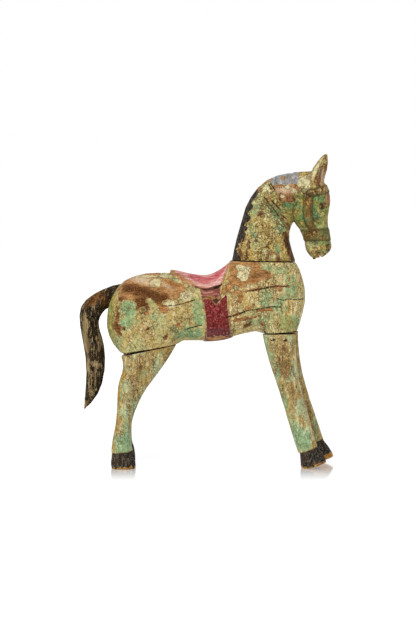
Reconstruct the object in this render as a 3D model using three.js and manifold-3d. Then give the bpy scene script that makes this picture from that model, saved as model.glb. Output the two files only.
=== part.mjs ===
// Carved and painted wooden carousel horse that stands on its own four hooves.
// Units are millimetres: +X runs from tail to head, +Y to the horse's left, +Z up.
// The origin lies on the floor, under the middle of the bounding box.
import * as THREE from "three";
import Module from "manifold-3d";

const wasm = await Module();
wasm.setup();

// Driving sizes
const HAUNCH_HALF = 106; // half width of the body block at the haunch
const WAIST_HALF = 93; // half width of the body block under the saddle
const SHOULDER_HALF = 104; // half width of the body block at the shoulder
const LIMB_Y = 54; // distance of each leg's top from the middle plane
const HIND_HOOF_Y = 70; // the hind legs spread to this at the floor
const FRONT_HOOF_Y = 62; // the front legs spread to this at the floor
const LEFT_FRONT_STEP = 14; // the left front leg is set this far ahead of the right one at its top
const LEFT_FRONT_STRIDE = 22; // and this much further ahead at the hoof
const LEFT_HIND_STRIDE = -8; // the left hind hoof stands this far behind the right one
const NECK_HALF = 74; // half width of the neck at its base
const HEAD_HALF = 52; // half width of the head at the brow
const EAR_Y = 33; // distance of each ear from the middle plane
const SADDLE_THICK = 11; // thickness of the seat's carved rim
const FLAP_LIFT = 4; // the girth and its flaps stand this far out of the body
const STRAP_LIFT = 2.6; // the bridle straps stand this far out of the head
const STRAP_SINK = 7; // depth of a strap's root inside the wood
const TOUCH_GAP = 0.3; // gap left where two pieces meet
const HIND_SEAM_OPEN = 8; // the hind seams have opened this far at the back
const FRONT_SEAM_OPEN = 9; // the front seams have opened this far at the chest
const NECK_SEAM_OPEN = 5; // the neck seam has opened this far at the chest

// Facets: rings of a swept form for each slice, and sides of each ring
const RINGS_PER_SLICE = 1.2;
const BODY_SIDES = 28;
const NECK_SIDES = 22;
const LIMB_SIDES = 16;
const HOOF_RINGS = 4;
const EAR_SIDES = 10;

// A slice is one cross-section: the two ends of its chord in the side view, and its half width.
// "square" is the exponent of its superellipse, and y the distance from the middle plane.
const slice = (from, to, half, y = 0, square = 2.3) => ({ from, to, half, y, square });

// The body is sliced upright, from the belly to the back, and runs from the rump to the chest.
// Over the legs its slices reach below the seams, where the saw cuts them off flat.
const upright = (x, low, high, half, square = 2.4) => slice([x, low], [x, high], half, 0, square);
const BARREL = [
  upright(-349, 486, 516, 16),
  upright(-344, 466, 552, 44),
  upright(-334, 438, 586, 68),
  upright(-314, 410, 620, 88, 2.6),
  upright(-298, 394, 638, 95, 2.8),
  upright(-280, 348, 653, 101, 2.8),
  upright(-242, 340, 669, HAUNCH_HALF - 1, 2.7),
  upright(-190, 344, 677, HAUNCH_HALF, 2.6),
  upright(-140, 372, 676, HAUNCH_HALF - 3, 2.6),
  upright(-112, 404, 669, 99, 2.5),
  upright(-94, 434, 663, 97, 2.5),
  upright(-72, 439, 654, 95),
  upright(-14, 438, 643, WAIST_HALF),
  upright(44, 441, 664, 97),
  upright(94, 453, 735, 101),
  upright(148, 467, 760, SHOULDER_HALF - 1, 2.6),
  upright(194, 470, 764, SHOULDER_HALF, 2.8),
  upright(214, 428, 764, SHOULDER_HALF, 3),
  upright(250, 398, 757, SHOULDER_HALF - 1, 3),
  upright(288, 408, 736, 96, 2.8),
  upright(314, 470, 706, 82, 2.5),
  upright(332, 526, 660, 56),
  upright(342, 572, 620, 22),
];

// The cleft between the haunches, from under the tail to the belly, sliced across its run
const CLEFT = [
  slice([-346, 520], [-372, 526], 4, 0, 2),
  slice([-328, 486], [-372, 482], 11, 0, 2),
  slice([-314, 450], [-360, 424], 15, 0, 2),
  slice([-288, 420], [-312, 372], 17, 0, 2),
  slice([-200, 438], [-196, 380], 17, 0, 2),
  slice([-104, 443], [-100, 400], 10, 0, 2),
];

// The neck runs from the withers to the poll, the head from the poll to the lips.
const NECK = [
  slice([76, 676], [324, 676], NECK_HALF + 2),
  slice([88, 724], [307, 724], NECK_HALF),
  slice([96, 766], [294, 766], 66),
  slice([107, 808], [287, 802], 60),
  slice([119, 850], [291, 831], 56),
  slice([134, 902], [304, 858], 53),
  slice([156, 944], [318, 884], 50),
  slice([190, 984], [334, 908], 47),
  slice([230, 1008], [350, 932], 44),
  slice([275, 1020], [368, 955], 42),
  slice([318, 1020], [386, 970], 34),
];
const HEAD = [
  slice([300, 1024], [368, 1027], 22),
  slice([306, 994], [404, 998], 44),
  slice([296, 955], [424, 958], HEAD_HALF),
  slice([290, 920], [429, 924], HEAD_HALF),
  slice([292, 885], [425, 892], 50),
  slice([303, 849], [420, 862], 44),
  slice([324, 826], [423, 832], 39),
  slice([336, 802], [427, 804], 37),
  slice([341, 778], [432, 780], 37),
  slice([344, 757], [434, 760], 36),
  slice([355, 737], [421, 742], 30),
  slice([371, 725], [403, 729], 16),
];
const EAR = [
  slice([352, 966], [404, 968], 14, EAR_Y - 3),
  slice([355, 998], [407, 998], 17, EAR_Y),
  slice([361, 1025], [413, 1022], 16, EAR_Y + 2),
  slice([381, 1056], [418, 1050], 11, EAR_Y + 3),
  slice([398, 1077], [417, 1074], 6, EAR_Y + 3),
  slice([408, 1087], [415, 1085], 2, EAR_Y + 3),
];

// Each leg runs from inside the seam to the coronet, and its hoof from there to the floor.
const HIND_LEG = [
  slice([-310, 428], [-84, 462], 40, LIMB_Y, 2.6),
  slice([-296, 385], [-110, 418], 40, LIMB_Y, 2.6),
  slice([-291, 358], [-138, 372], 39, LIMB_Y + 2, 2.6),
  slice([-294, 332], [-164, 336], 38, LIMB_Y + 4, 2.6),
  slice([-304, 302], [-188, 303], 36, LIMB_Y + 6, 2.6),
  slice([-309, 272], [-212, 272], 34, LIMB_Y + 8, 2.6),
  slice([-310, 237], [-231, 237], 32, LIMB_Y + 10, 2.6),
  slice([-312, 196], [-249, 196], 30, LIMB_Y + 12, 2.6),
  slice([-316, 154], [-261, 154], 29, LIMB_Y + 14, 2.6),
  slice([-323, 113], [-262, 114], 30, HIND_HOOF_Y - 2, 2.6),
  slice([-330, 79], [-261, 83], 33, HIND_HOOF_Y, 2.6),
  slice([-331, 54], [-257, 62], 36, HIND_HOOF_Y, 2.6),
];
const HIND_HOOF = [
  slice([-325, 60], [-259, 68], 31, HIND_HOOF_Y),
  slice([-328, 48], [-253, 54], 35, HIND_HOOF_Y),
  slice([-333, 26], [-248, 28], 39, HIND_HOOF_Y),
  slice([-332, 0], [-246, 0], 40, HIND_HOOF_Y),
];
const FRONT_LEG = [
  slice([182, 500], [308, 510], 40, LIMB_Y, 2.6),
  slice([195, 450], [308, 454], 40, LIMB_Y, 2.6),
  slice([207, 398], [309, 404], 38, LIMB_Y + 1, 2.6),
  slice([221, 353], [312, 362], 36, LIMB_Y + 2, 2.6),
  slice([238, 302], [319, 313], 34, LIMB_Y + 3, 2.6),
  slice([256, 248], [331, 262], 33, LIMB_Y + 5, 2.6),
  slice([274, 188], [346, 206], 32, LIMB_Y + 6, 2.6),
  slice([290, 134], [362, 154], 32, FRONT_HOOF_Y - 2, 2.6),
  slice([305, 86], [375, 106], 33, FRONT_HOOF_Y, 2.6),
  slice([317, 52], [383, 77], 35, FRONT_HOOF_Y, 2.6),
];
const FRONT_HOOF = [
  slice([319, 62], [378, 84], 30, FRONT_HOOF_Y),
  slice([323, 48], [388, 70], 34, FRONT_HOOF_Y),
  slice([325, 24], [408, 42], 38, FRONT_HOOF_Y),
  slice([328, -14], [424, 2], 39, FRONT_HOOF_Y),
];
// The sole of a front hoof is flat under the heel and rises to the toe.
const HEEL_FLAT_END = 352;
const TOE_RISE_DEG = 18;

const TAIL_SQUARE = 1.8; // below 2, which leaves a ridge along each side of the tail
const TAIL = [
  slice([-286, 640], [-318, 548], 26, 0, TAIL_SQUARE),
  slice([-340, 628], [-345, 552], 27, 0, TAIL_SQUARE),
  slice([-382, 609], [-358, 541], 29, 0, TAIL_SQUARE),
  slice([-417, 586], [-370, 525], 30, 0, TAIL_SQUARE),
  slice([-441, 556], [-377, 505], 30, 0, TAIL_SQUARE),
  slice([-446, 516], [-375, 482], 30, 0, TAIL_SQUARE),
  slice([-441, 472], [-368, 458], 29, 0, TAIL_SQUARE),
  slice([-433, 427], [-359, 427], 28, 0, TAIL_SQUARE),
  slice([-425, 374], [-355, 380], 27, 0, TAIL_SQUARE),
  slice([-423, 318], [-358, 322], 25, 0, TAIL_SQUARE),
  slice([-426, 270], [-373, 268], 21, 0, TAIL_SQUARE),
  slice([-430, 229], [-396, 229], 13, 0, TAIL_SQUARE),
  slice([-433, 196], [-427, 196], 3, 0, TAIL_SQUARE),
];

// Seams between the blocks, each as the two ends of its saw cut in the side view
const HIND_SEAM = { back: [-296, 398], front: [-105, 429] };
const FRONT_SEAM = { back: [195, 466], front: [316, 476] };
const NECK_SEAM = { back: [59, 719], front: [322, 711] };

// The saddle seat: stations along its length with the height of its ridge, of its side edge, and its half width
const SADDLE = [
  { x: -128, ridge: 688, edge: 683, half: 26 },
  { x: -118, ridge: 687, edge: 676, half: 44 },
  { x: -93, ridge: 681, edge: 661, half: 60 },
  { x: -41, ridge: 670, edge: 635, half: 75 },
  { x: 0, ridge: 668, edge: 626, half: 78 },
  { x: 35, ridge: 681, edge: 637, half: 75 },
  { x: 60, ridge: 698, edge: 661, half: 62 },
  { x: 74, ridge: 709, edge: 685, half: 42 },
  { x: 79, ridge: 712, edge: 700, half: 22 },
];
const SADDLE_RIDGE_DEPTH = 44; // the seat is sunk this far into the body under its ridge
const SADDLE_STEPS = 16;
const SADDLE_COLUMNS = 10;

// The girth: its flaps start at this turn from the back, narrow at the waist and widen under the belly.
const FLAP_TOP_TURN = THREE.MathUtils.degToRad(58);
const FLAP_BACK_X = -18;
const FLAP_FRONT_X = 66;
const FLAP_WAIST = 17;
const FLAP_FLARE = 24;
const GIRTH_STEPS = 20;
const GIRTH_COLUMNS = 3;
// Above this outline the flaps are cut away, which leaves a straight edge, a notch and a peak at the front.
const FLAP_CUT = [
  [-40, 591],
  [12, 592],
  [31, 569],
  [66, 610],
  [66, 660],
  [-40, 660],
];

// Bridle straps, placed along the head's and the neck's slices by slice number
const NOSEBAND = { start: 6.15, end: 7.55 };
const BROWBAND = { start: 1.85, width: 0.6, rise: 0.4, reach: THREE.MathUtils.degToRad(100) };
const BROW_STEPS = 14;
const CHEEK_STRAP = { start: 2.2, end: 6.4, turn: THREE.MathUtils.degToRad(99), width: 0.36 };
const STRAP_STEPS = 8;
const STRAP_COLUMNS = 1;
const THROAT_STRAP = { start: 6.4, end: 4.05, backTurn: 2.15, throatTurn: 0.5, width: 0.46 };

const EYE = { x: 397, z: 906, y: 42, length: 13, height: 9, bulge: 9 };
const NOSTRIL = { x: 421, z: 762, y: 29, length: 9, height: 12, depth: 9 };
const MOUTH = { tip: [401, 722], corner: [388, 745], gape: 5 };
const NAIL_HOLES = [
  [230, 448],
  [271, 446],
];
const NAIL_RADIUS = 3.5;
const NAIL_DEPTH = 12;

// Catmull-Rom value between b and c
function spline(a, b, c, d, f) {
  const out = (c - a) / 2;
  const into = (d - b) / 2;
  const f2 = f * f;
  const f3 = f2 * f;
  return b * (2 * f3 - 3 * f2 + 1) + out * (f3 - 2 * f2 + f) + c * (3 * f2 - 2 * f3) + into * (f3 - f2);
}

// The slice at a fractional place along a list of slices
function sliceAt(slices, place) {
  const last = slices.length - 1;
  const i = Math.min(Math.max(Math.floor(place), 0), last - 1);
  const near = [i - 1, i, i + 1, i + 2].map((k) => slices[Math.min(Math.max(k, 0), last)]);
  const mix = (pick) => spline(...near.map(pick), place - i);
  return slice(
    [mix((s) => s.from[0]), mix((s) => s.from[1])],
    [mix((s) => s.to[0]), mix((s) => s.to[1])],
    mix((s) => s.half),
    mix((s) => s.y),
    mix((s) => s.square),
  );
}

const power = (value, exponent) => Math.sign(value) * Math.abs(value) ** exponent;

// A point on a slice's rim: turn 0 is the chord's far end, and half a turn its near end.
// "lift" moves the rim outwards.
function rimPoint(s, turn, lift = 0) {
  const chord = new THREE.Vector2(s.to[0] - s.from[0], s.to[1] - s.from[1]);
  const reach = chord.length() / 2 + lift;
  chord.normalize();
  const along = reach * power(Math.cos(turn), 2 / s.square);
  const across = (s.half + lift) * power(Math.sin(turn), 2 / s.square);
  const midX = (s.from[0] + s.to[0]) / 2;
  const midZ = (s.from[1] + s.to[1]) / 2;
  return new THREE.Vector3(midX + chord.x * along, s.y + across, midZ + chord.y * along);
}

// A closed geometry as a solid, with its faces turned outwards
function solidFrom(points, triangles) {
  const vertProperties = new Float32Array(points.flatMap((p) => [p.x, p.y, p.z]));
  let volume = 0;
  for (let i = 0; i < triangles.length; i += 3) {
    const [a, b, c] = [0, 1, 2].map((k) => points[triangles[i + k]]);
    volume += a.dot(b.clone().cross(c));
  }
  const triVerts = new Uint32Array(volume < 0 ? triangles.toReversed() : triangles);
  return new wasm.Manifold(new wasm.Mesh({ numProp: 3, vertProperties, triVerts }));
}

// Rings of equal length skinned into a solid, with both ends closed by fans
function skin(rings) {
  const sides = rings[0].length;
  const points = rings.flat();
  const triangles = [];
  for (let r = 0; r + 1 < rings.length; r += 1) {
    for (let k = 0; k < sides; k += 1) {
      const a = r * sides + k;
      const b = r * sides + ((k + 1) % sides);
      triangles.push(a, b, b + sides, a, b + sides, a + sides);
    }
  }
  for (const [ring, start, flip] of [
    [rings[0], 0, true],
    [rings.at(-1), (rings.length - 1) * sides, false],
  ]) {
    const centre = ring.reduce((sum, p) => sum.add(p), new THREE.Vector3()).divideScalar(sides);
    points.push(centre);
    for (let k = 0; k < sides; k += 1) {
      const edge = [start + k, start + ((k + 1) % sides)];
      triangles.push(points.length - 1, ...(flip ? edge.reverse() : edge));
    }
  }
  return solidFrom(points, triangles);
}

// A swept form through slices, or through a stretch of them, with its rim moved out by "lift"
function sweep(slices, sides, { start = 0, end = slices.length - 1, lift = 0, rings = 0 } = {}) {
  const count = rings || Math.ceil((end - start) * RINGS_PER_SLICE);
  const made = [];
  for (let r = 0; r <= count; r += 1) {
    const s = sliceAt(slices, start + ((end - start) * r) / count);
    made.push(
      Array.from({ length: sides }, (_, k) => rimPoint(s, ((k + 0.5) / sides) * 2 * Math.PI, lift)),
    );
  }
  return skin(made);
}

// A strap or panel that follows a swept form: "route" gives the place and turn for each u along and v across.
function panel(slices, steps, columns, route, lift, sink) {
  const rings = [];
  for (let i = 0; i <= steps; i += 1) {
    const top = [];
    const under = [];
    for (let j = 0; j <= columns; j += 1) {
      const { place, turn } = route(i / steps, j / columns);
      const s = sliceAt(slices, place);
      top.push(rimPoint(s, turn, lift));
      under.push(rimPoint(s, turn, -sink));
    }
    rings.push([...top, ...under.reverse()]);
  }
  return skin(rings);
}

const mirrored = (solid) => solid.mirror([0, 1, 0]);
const union = (solids) => solids.reduce((sum, solid) => sum.add(solid));

// A three.js geometry of shared vertices as a solid
function solidOf(geometry, move) {
  const position = geometry.getAttribute("position");
  const places = new Map();
  const points = [];
  const shared = [];
  for (let i = 0; i < position.count; i += 1) {
    const p = new THREE.Vector3().fromBufferAttribute(position, i).applyMatrix4(move);
    const key = p.toArray().map((v) => v.toFixed(3)).join();
    if (!places.has(key)) {
      places.set(key, points.length);
      points.push(p);
    }
    shared.push(places.get(key));
  }
  const order = geometry.index ? [...geometry.index.array].map((i) => shared[i]) : shared;
  const triangles = [];
  for (let i = 0; i < order.length; i += 3) {
    const corner = order.slice(i, i + 3);
    if (new Set(corner).size === 3) triangles.push(...corner);
  }
  return solidFrom(points, triangles);
}

const BLOCK = 1200; // a block larger than the horse, for saw cuts

// The half space above (or below) a saw cut that runs through two points of the side view
function sawBlock([x0, z0], [x1, z1], above) {
  const side = above ? BLOCK / 2 : -BLOCK / 2;
  const move = new THREE.Matrix4()
    .makeTranslation((x0 + x1) / 2, 0, (z0 + z1) / 2)
    .multiply(new THREE.Matrix4().makeRotationY(-Math.atan2(z1 - z0, x1 - x0)))
    .multiply(new THREE.Matrix4().makeTranslation(0, 0, side));
  return solidOf(new THREE.BoxGeometry(BLOCK, BLOCK, BLOCK), move);
}

// A saw block that reaches only along its own seam, so that it leaves the rest of the piece alone
function seamBlock({ back, front }, spare, depth) {
  const length = Math.hypot(front[0] - back[0], front[1] - back[1]) + 2 * spare;
  const move = new THREE.Matrix4()
    .makeTranslation((back[0] + front[0]) / 2, 0, (back[1] + front[1]) / 2)
    .multiply(new THREE.Matrix4().makeRotationY(-Math.atan2(front[1] - back[1], front[0] - back[0])))
    .multiply(new THREE.Matrix4().makeTranslation(0, 0, -depth / 2));
  return solidOf(new THREE.BoxGeometry(length, BLOCK, depth), move);
}

const lowered = ([x, z], drop) => [x, z - drop];

// An ellipsoid of three radii
function ellipsoid(centre, radii, sides = 8) {
  const move = new THREE.Matrix4().makeTranslation(...centre);
  move.multiply(new THREE.Matrix4().makeScale(...radii));
  return solidOf(new THREE.SphereGeometry(1, sides, Math.round(sides * 0.7)), move);
}

// A flat outline of the side view, extruded right through the horse
function throughCut(outline, width = BLOCK) {
  const shape = new THREE.Shape(outline.map(([x, z]) => new THREE.Vector2(x, z)));
  const geometry = new THREE.ExtrudeGeometry(shape, { depth: width, bevelEnabled: false });
  const move = new THREE.Matrix4().makeRotationX(Math.PI / 2).setPosition(0, width / 2, 0);
  return solidOf(geometry, move);
}

// The place along the upright body slices where x is reached
function barrelPlace(x) {
  const i = BARREL.findIndex((s, k) => k > 0 && s.from[0] >= x);
  let [low, high] = [i - 1, i];
  for (let round = 0; round < 20; round += 1) {
    const mid = (low + high) / 2;
    if (sliceAt(BARREL, mid).from[0] < x) low = mid;
    else high = mid;
  }
  return low;
}

// The girth with a flap on each side, one carved band that runs under the belly
function girth() {
  const band = panel(
    BARREL,
    GIRTH_STEPS,
    GIRTH_COLUMNS,
    (u, v) => {
      const down = 1 - Math.abs(2 * u - 1); // 0 at each flap's top, 1 under the belly
      const back = FLAP_BACK_X + FLAP_WAIST * Math.sin(Math.PI * down * 0.9);
      const front = FLAP_FRONT_X + FLAP_FLARE * down;
      const turn = -FLAP_TOP_TURN - u * (2 * Math.PI - 2 * FLAP_TOP_TURN);
      return { place: barrelPlace(back + v * (front - back)), turn };
    },
    FLAP_LIFT,
    SADDLE_THICK,
  );
  return band.subtract(throughCut(FLAP_CUT));
}

// The saddle seat, a saddle-shaped leaf with a thick rim, sunk into the back under its ridge
function saddle() {
  const rings = [];
  for (let i = 0; i <= SADDLE_STEPS; i += 1) {
    const place = ((SADDLE.length - 1) * i) / SADDLE_STEPS;
    const k = Math.min(Math.floor(place), SADDLE.length - 2);
    const near = [k - 1, k, k + 1, k + 2].map((n) => SADDLE[Math.min(Math.max(n, 0), SADDLE.length - 1)]);
    const [x, ridge, edge, half] = ["x", "ridge", "edge", "half"].map((name) =>
      spline(...near.map((s) => s[name]), place - k),
    );
    const top = [];
    const under = [];
    for (let j = 0; j <= SADDLE_COLUMNS; j += 1) {
      const across = (2 * j) / SADDLE_COLUMNS - 1;
      const z = ridge - (ridge - edge) * Math.abs(across) ** 2.2;
      const depth = SADDLE_THICK + (SADDLE_RIDGE_DEPTH - SADDLE_THICK) * (1 - across ** 2);
      top.push(new THREE.Vector3(x, half * across, z));
      under.push(new THREE.Vector3(x, half * across, z - depth));
    }
    rings.push([...top, ...under.reverse()]);
  }
  return skin(rings);
}

// The body block with its saddle and girth carved on it, sawn flat for the neck and the legs
function body() {
  const carved = union([sweep(BARREL, BODY_SIDES), girth(), saddle()]);
  return carved
    .subtract(sweep(CLEFT, LIMB_SIDES))
    .subtract(sawBlock(NECK_SEAM.back, NECK_SEAM.front, true))
    .subtract(seamBlock(HIND_SEAM, 40, 200))
    .subtract(seamBlock(FRONT_SEAM, 10, 100));
}

// One ear, a leaf with a hollow on its outer side
function ear() {
  const leaf = sweep(EAR, EAR_SIDES);
  const hollow = EAR.slice(1).map((s) => {
    const shift = s.half * 0.75;
    const chord = [s.to[0] - s.from[0], s.to[1] - s.from[1]];
    const inset = (f) => [s.from[0] + chord[0] * f, s.from[1] + chord[1] * f];
    return slice(inset(0.3), inset(0.86), s.half * 0.7, s.y + shift, 2);
  });
  return leaf.subtract(sweep(hollow, EAR_SIDES - 4, { end: 3.4 }));
}

// The bridle: a cheek strap and a throat strap on each side, a noseband, and a browband that rises to the front
function bridle() {
  const cheek = panel(
    HEAD,
    STRAP_STEPS,
    STRAP_COLUMNS,
    (u, v) => ({
      place: CHEEK_STRAP.start + u * (CHEEK_STRAP.end - CHEEK_STRAP.start),
      turn: CHEEK_STRAP.turn + (v - 0.5) * CHEEK_STRAP.width,
    }),
    STRAP_LIFT,
    STRAP_SINK,
  );
  const throat = panel(
    NECK,
    STRAP_STEPS,
    STRAP_COLUMNS,
    (u, v) => ({
      place: THROAT_STRAP.start + u * (THROAT_STRAP.end - THROAT_STRAP.start) + (v - 0.5) * THROAT_STRAP.width,
      turn: THROAT_STRAP.backTurn + u * (THROAT_STRAP.throatTurn - THROAT_STRAP.backTurn),
    }),
    STRAP_LIFT,
    STRAP_SINK,
  );
  const noseband = sweep(HEAD, NECK_SIDES, { ...NOSEBAND, lift: STRAP_LIFT, rings: 2 });
  const browband = panel(
    HEAD,
    BROW_STEPS,
    STRAP_COLUMNS,
    (u, v) => {
      const turn = BROWBAND.reach * (1 - 2 * u); // from one cheek over the forehead to the other
      return { place: BROWBAND.start + v * BROWBAND.width - BROWBAND.rise * Math.cos(turn), turn };
    },
    STRAP_LIFT,
    STRAP_SINK,
  );
  return union([cheek, mirrored(cheek), throat, mirrored(throat), noseband, browband]);
}

// Neck and head, carved from one block, with bridle, eyes, nostrils, mouth and ears
function neckAndHead() {
  const ears = ear();
  const eye = ellipsoid([EYE.x, EYE.y, EYE.z], [EYE.length, EYE.bulge, EYE.height]);
  const nostril = ellipsoid(
    [NOSTRIL.x, NOSTRIL.y, NOSTRIL.z],
    [NOSTRIL.length, NOSTRIL.depth, NOSTRIL.height],
  );
  const mouth = throughCut([
    [MOUTH.tip[0] - MOUTH.gape, MOUTH.tip[1] - MOUTH.gape],
    MOUTH.corner,
    [MOUTH.tip[0] + MOUTH.gape, MOUTH.tip[1] - MOUTH.gape],
  ]);
  const block = union([sweep(NECK, NECK_SIDES), sweep(HEAD, NECK_SIDES), bridle()]);
  return union([block, ears, mirrored(ears), eye, mirrored(eye)])
    .subtract(nostril)
    .subtract(mirrored(nostril))
    .subtract(mouth)
    .subtract(
      sawBlock(lowered(NECK_SEAM.back, -TOUCH_GAP), lowered(NECK_SEAM.front, -NECK_SEAM_OPEN), false),
    );
}

// Slices moved forwards by a step, and by a stride that grows from the seam's height down to the floor
const strode = (slices, seam, step, stride) =>
  slices.map((s) => {
    const move = ([x, z]) => [x + step + stride * Math.max(0, 1 - z / seam.back[1]), z];
    return { ...s, from: move(s.from), to: move(s.to) };
  });

// A hind leg on the horse's left side, with its hoof set ahead by a stride
function hindLeg(stride) {
  const shank = sweep(strode(HIND_LEG, HIND_SEAM, 0, stride), LIMB_SIDES);
  const hoof = sweep(strode(HIND_HOOF, HIND_SEAM, 0, stride), LIMB_SIDES, { rings: HOOF_RINGS });
  return shank
    .add(hoof)
    .subtract(sawBlock(lowered(HIND_SEAM.back, HIND_SEAM_OPEN), lowered(HIND_SEAM.front, TOUCH_GAP), true));
}

// A front leg on the horse's left side, set ahead by a step at the top and a stride at the hoof
function frontLeg(step, stride) {
  const heel = HEEL_FLAT_END + step + stride;
  const toe = [heel + 100, 100 * Math.tan(THREE.MathUtils.degToRad(TOE_RISE_DEG))];
  const shank = sweep(strode(FRONT_LEG, FRONT_SEAM, step, stride), LIMB_SIDES);
  const hoof = sweep(strode(FRONT_HOOF, FRONT_SEAM, step, stride), LIMB_SIDES, { rings: HOOF_RINGS });
  const nails = NAIL_HOLES.map(([x, z]) =>
    solidOf(
      new THREE.CylinderGeometry(NAIL_RADIUS, NAIL_RADIUS, 2 * NAIL_DEPTH, 8),
      new THREE.Matrix4().makeTranslation(x + step, LIMB_Y + 38, z),
    ),
  );
  return shank
    .add(hoof)
    .subtract(sawBlock(lowered(FRONT_SEAM.back, TOUCH_GAP), lowered(FRONT_SEAM.front, FRONT_SEAM_OPEN), true))
    .subtract(sawBlock([-1, 0], [1, 0], false))
    .subtract(sawBlock([heel, 0], toe, false))
    .subtract(union(nails));
}

// The tail, cut to the shape of the rump that it butts against
function tail() {
  return sweep(TAIL, LIMB_SIDES).subtract(sweep(BARREL, BODY_SIDES, { lift: TOUCH_GAP }));
}

// Finishes
const paint = (color) => new THREE.MeshStandardMaterial({ color, roughness: 0.72, metalness: 0 });
const GREEN_PAINT = paint(0xb9b382);
const BLACK_PAINT = paint(0x2b2822);

const horse = new THREE.Group();

// A named mesh of a solid, added to the horse
function add(name, solid, material) {
  const mesh = solid.getMesh();
  const geometry = new THREE.BufferGeometry();
  geometry.setAttribute("position", new THREE.BufferAttribute(new Float32Array(mesh.vertProperties), 3));
  geometry.setIndex(new THREE.BufferAttribute(new Uint32Array(mesh.triVerts), 1));
  const made = new THREE.Mesh(geometry, material);
  made.name = name;
  horse.add(made);
}

add("body", body(), GREEN_PAINT);
add("neck_and_head", neckAndHead(), GREEN_PAINT);
add("hind_leg_left", hindLeg(LEFT_HIND_STRIDE), GREEN_PAINT);
add("hind_leg_right", mirrored(hindLeg(0)), GREEN_PAINT);
add("front_leg_left", frontLeg(LEFT_FRONT_STEP, LEFT_FRONT_STRIDE), GREEN_PAINT);
add("front_leg_right", mirrored(frontLeg(0, 0)), GREEN_PAINT);
add("tail", tail(), BLACK_PAINT);

// The origin goes to the middle of the horse's length.
const box = new THREE.Box3().setFromObject(horse);
horse.position.x = -(box.min.x + box.max.x) / 2;

export default horse;
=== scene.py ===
# %% [markdown]
# # A carved and painted carousel horse
# This lesson dresses seven plain wooden blocks as an old carousel horse whose paint has crackled and flaked.
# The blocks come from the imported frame, and they give every size and place. Blender adds what a carver, a
# painter and a century of weather did to them: softened edges, chips, cracks, layers of paint and dirt.

# %% Load the frame
import math

import bmesh
import bpy
import numpy as np
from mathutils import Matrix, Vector
from mathutils.kdtree import KDTree


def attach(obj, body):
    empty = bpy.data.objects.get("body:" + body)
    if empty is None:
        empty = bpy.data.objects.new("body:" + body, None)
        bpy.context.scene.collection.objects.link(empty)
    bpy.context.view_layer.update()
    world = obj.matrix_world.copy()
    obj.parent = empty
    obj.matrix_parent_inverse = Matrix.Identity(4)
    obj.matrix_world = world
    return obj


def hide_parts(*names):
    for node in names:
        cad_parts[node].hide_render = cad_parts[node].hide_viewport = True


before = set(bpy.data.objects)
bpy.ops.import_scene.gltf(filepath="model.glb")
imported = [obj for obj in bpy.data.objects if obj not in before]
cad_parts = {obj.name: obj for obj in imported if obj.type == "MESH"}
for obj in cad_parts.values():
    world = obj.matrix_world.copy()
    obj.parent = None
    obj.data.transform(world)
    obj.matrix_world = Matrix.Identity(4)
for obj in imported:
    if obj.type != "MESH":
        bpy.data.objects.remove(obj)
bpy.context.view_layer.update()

MM = 0.001
print("blocks:", ", ".join(sorted(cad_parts)))

# %% [markdown]
# ## The view
# A catalogue photograph is taken from far away with a long lens, so that the horse isn't distorted. The
# camera stands five metres off the horse's right side, a little above its back, and looks slightly down.

# %% Camera
CAMERA_PLACE = (0.001, -5.0, 0.875)
CAMERA_TILT_DEG = 3.86
CAMERA_LENS_MM = 82.75
SENSOR_WIDTH_MM = 36


def add_object(name, data):
    """Puts a mesh, a lamp or a camera into the scene as an object."""
    thing = bpy.data.objects.new(name, data)
    bpy.context.collection.objects.link(thing)
    return thing


lens = bpy.data.cameras.new("catalogue_camera")
lens.lens = CAMERA_LENS_MM
lens.sensor_width = SENSOR_WIDTH_MM
camera = add_object("catalogue_camera", lens)
camera.location = CAMERA_PLACE
camera.rotation_euler = (math.radians(90 - CAMERA_TILT_DEG), 0, 0)
bpy.context.scene.camera = camera
print("camera at", CAMERA_PLACE)

# %% [markdown]
# ## One way to add nodes
# Materials and geometry trees are both made of nodes. One small helper adds a node, sets its options and
# fills or links its sockets, so that each tree below reads as a list of what it does.


# %% Helpers for colours and nodes
def linear(hex_colour):
    """An sRGB hex colour as the linear RGBA that Blender's sockets hold."""
    channels = [int(hex_colour[i:i + 2], 16) / 255 for i in (1, 3, 5)]
    return [c / 12.92 if c <= 0.04045 else ((c + 0.055) / 1.055) ** 2.4 for c in channels] + [1.0]


def add_node(tree, kind, inputs=None, **settings):
    """Adds a node; an input is linked if it is a socket or a node's first output, and else it is a value."""
    node = tree.nodes.new(kind)
    for name, value in settings.items():
        setattr(node, name, value)
    for socket, value in (inputs or {}).items():
        if isinstance(value, bpy.types.Node):
            value = value.outputs[0]
        if isinstance(value, bpy.types.NodeSocket):
            tree.links.new(value, node.inputs[socket])
        else:
            node.inputs[socket].default_value = value
    return node


print("linear grey of #808080:", round(linear("#808080")[0], 3))

# %% [markdown]
# ## Floor and light
# The horse stands on a light table, a sheet of white acrylic that glows. It is polished only where the horse
# stands, so that the hooves have short reflections and hardly any shadow. The rest of the light is a white
# surround with one broad bank of lamps above the camera's left shoulder. The table comes out as white as the
# surround, so no horizon shows. The surround looks brighter, straight or mirrored, than it lights, to keep
# the paint's colours deep.

# %% Floor
FLOOR_SIZE = 60.0
TABLE_WHITE = "#a0a0a0"
TABLE_GLOW = 0.78
TABLE_SHINE = 0.66
TABLE_ROUGHNESS = 0.1
POLISHED_HALF = (0.45, 0.1, 0.0)
HAZE_REACH = 0.24


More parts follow.
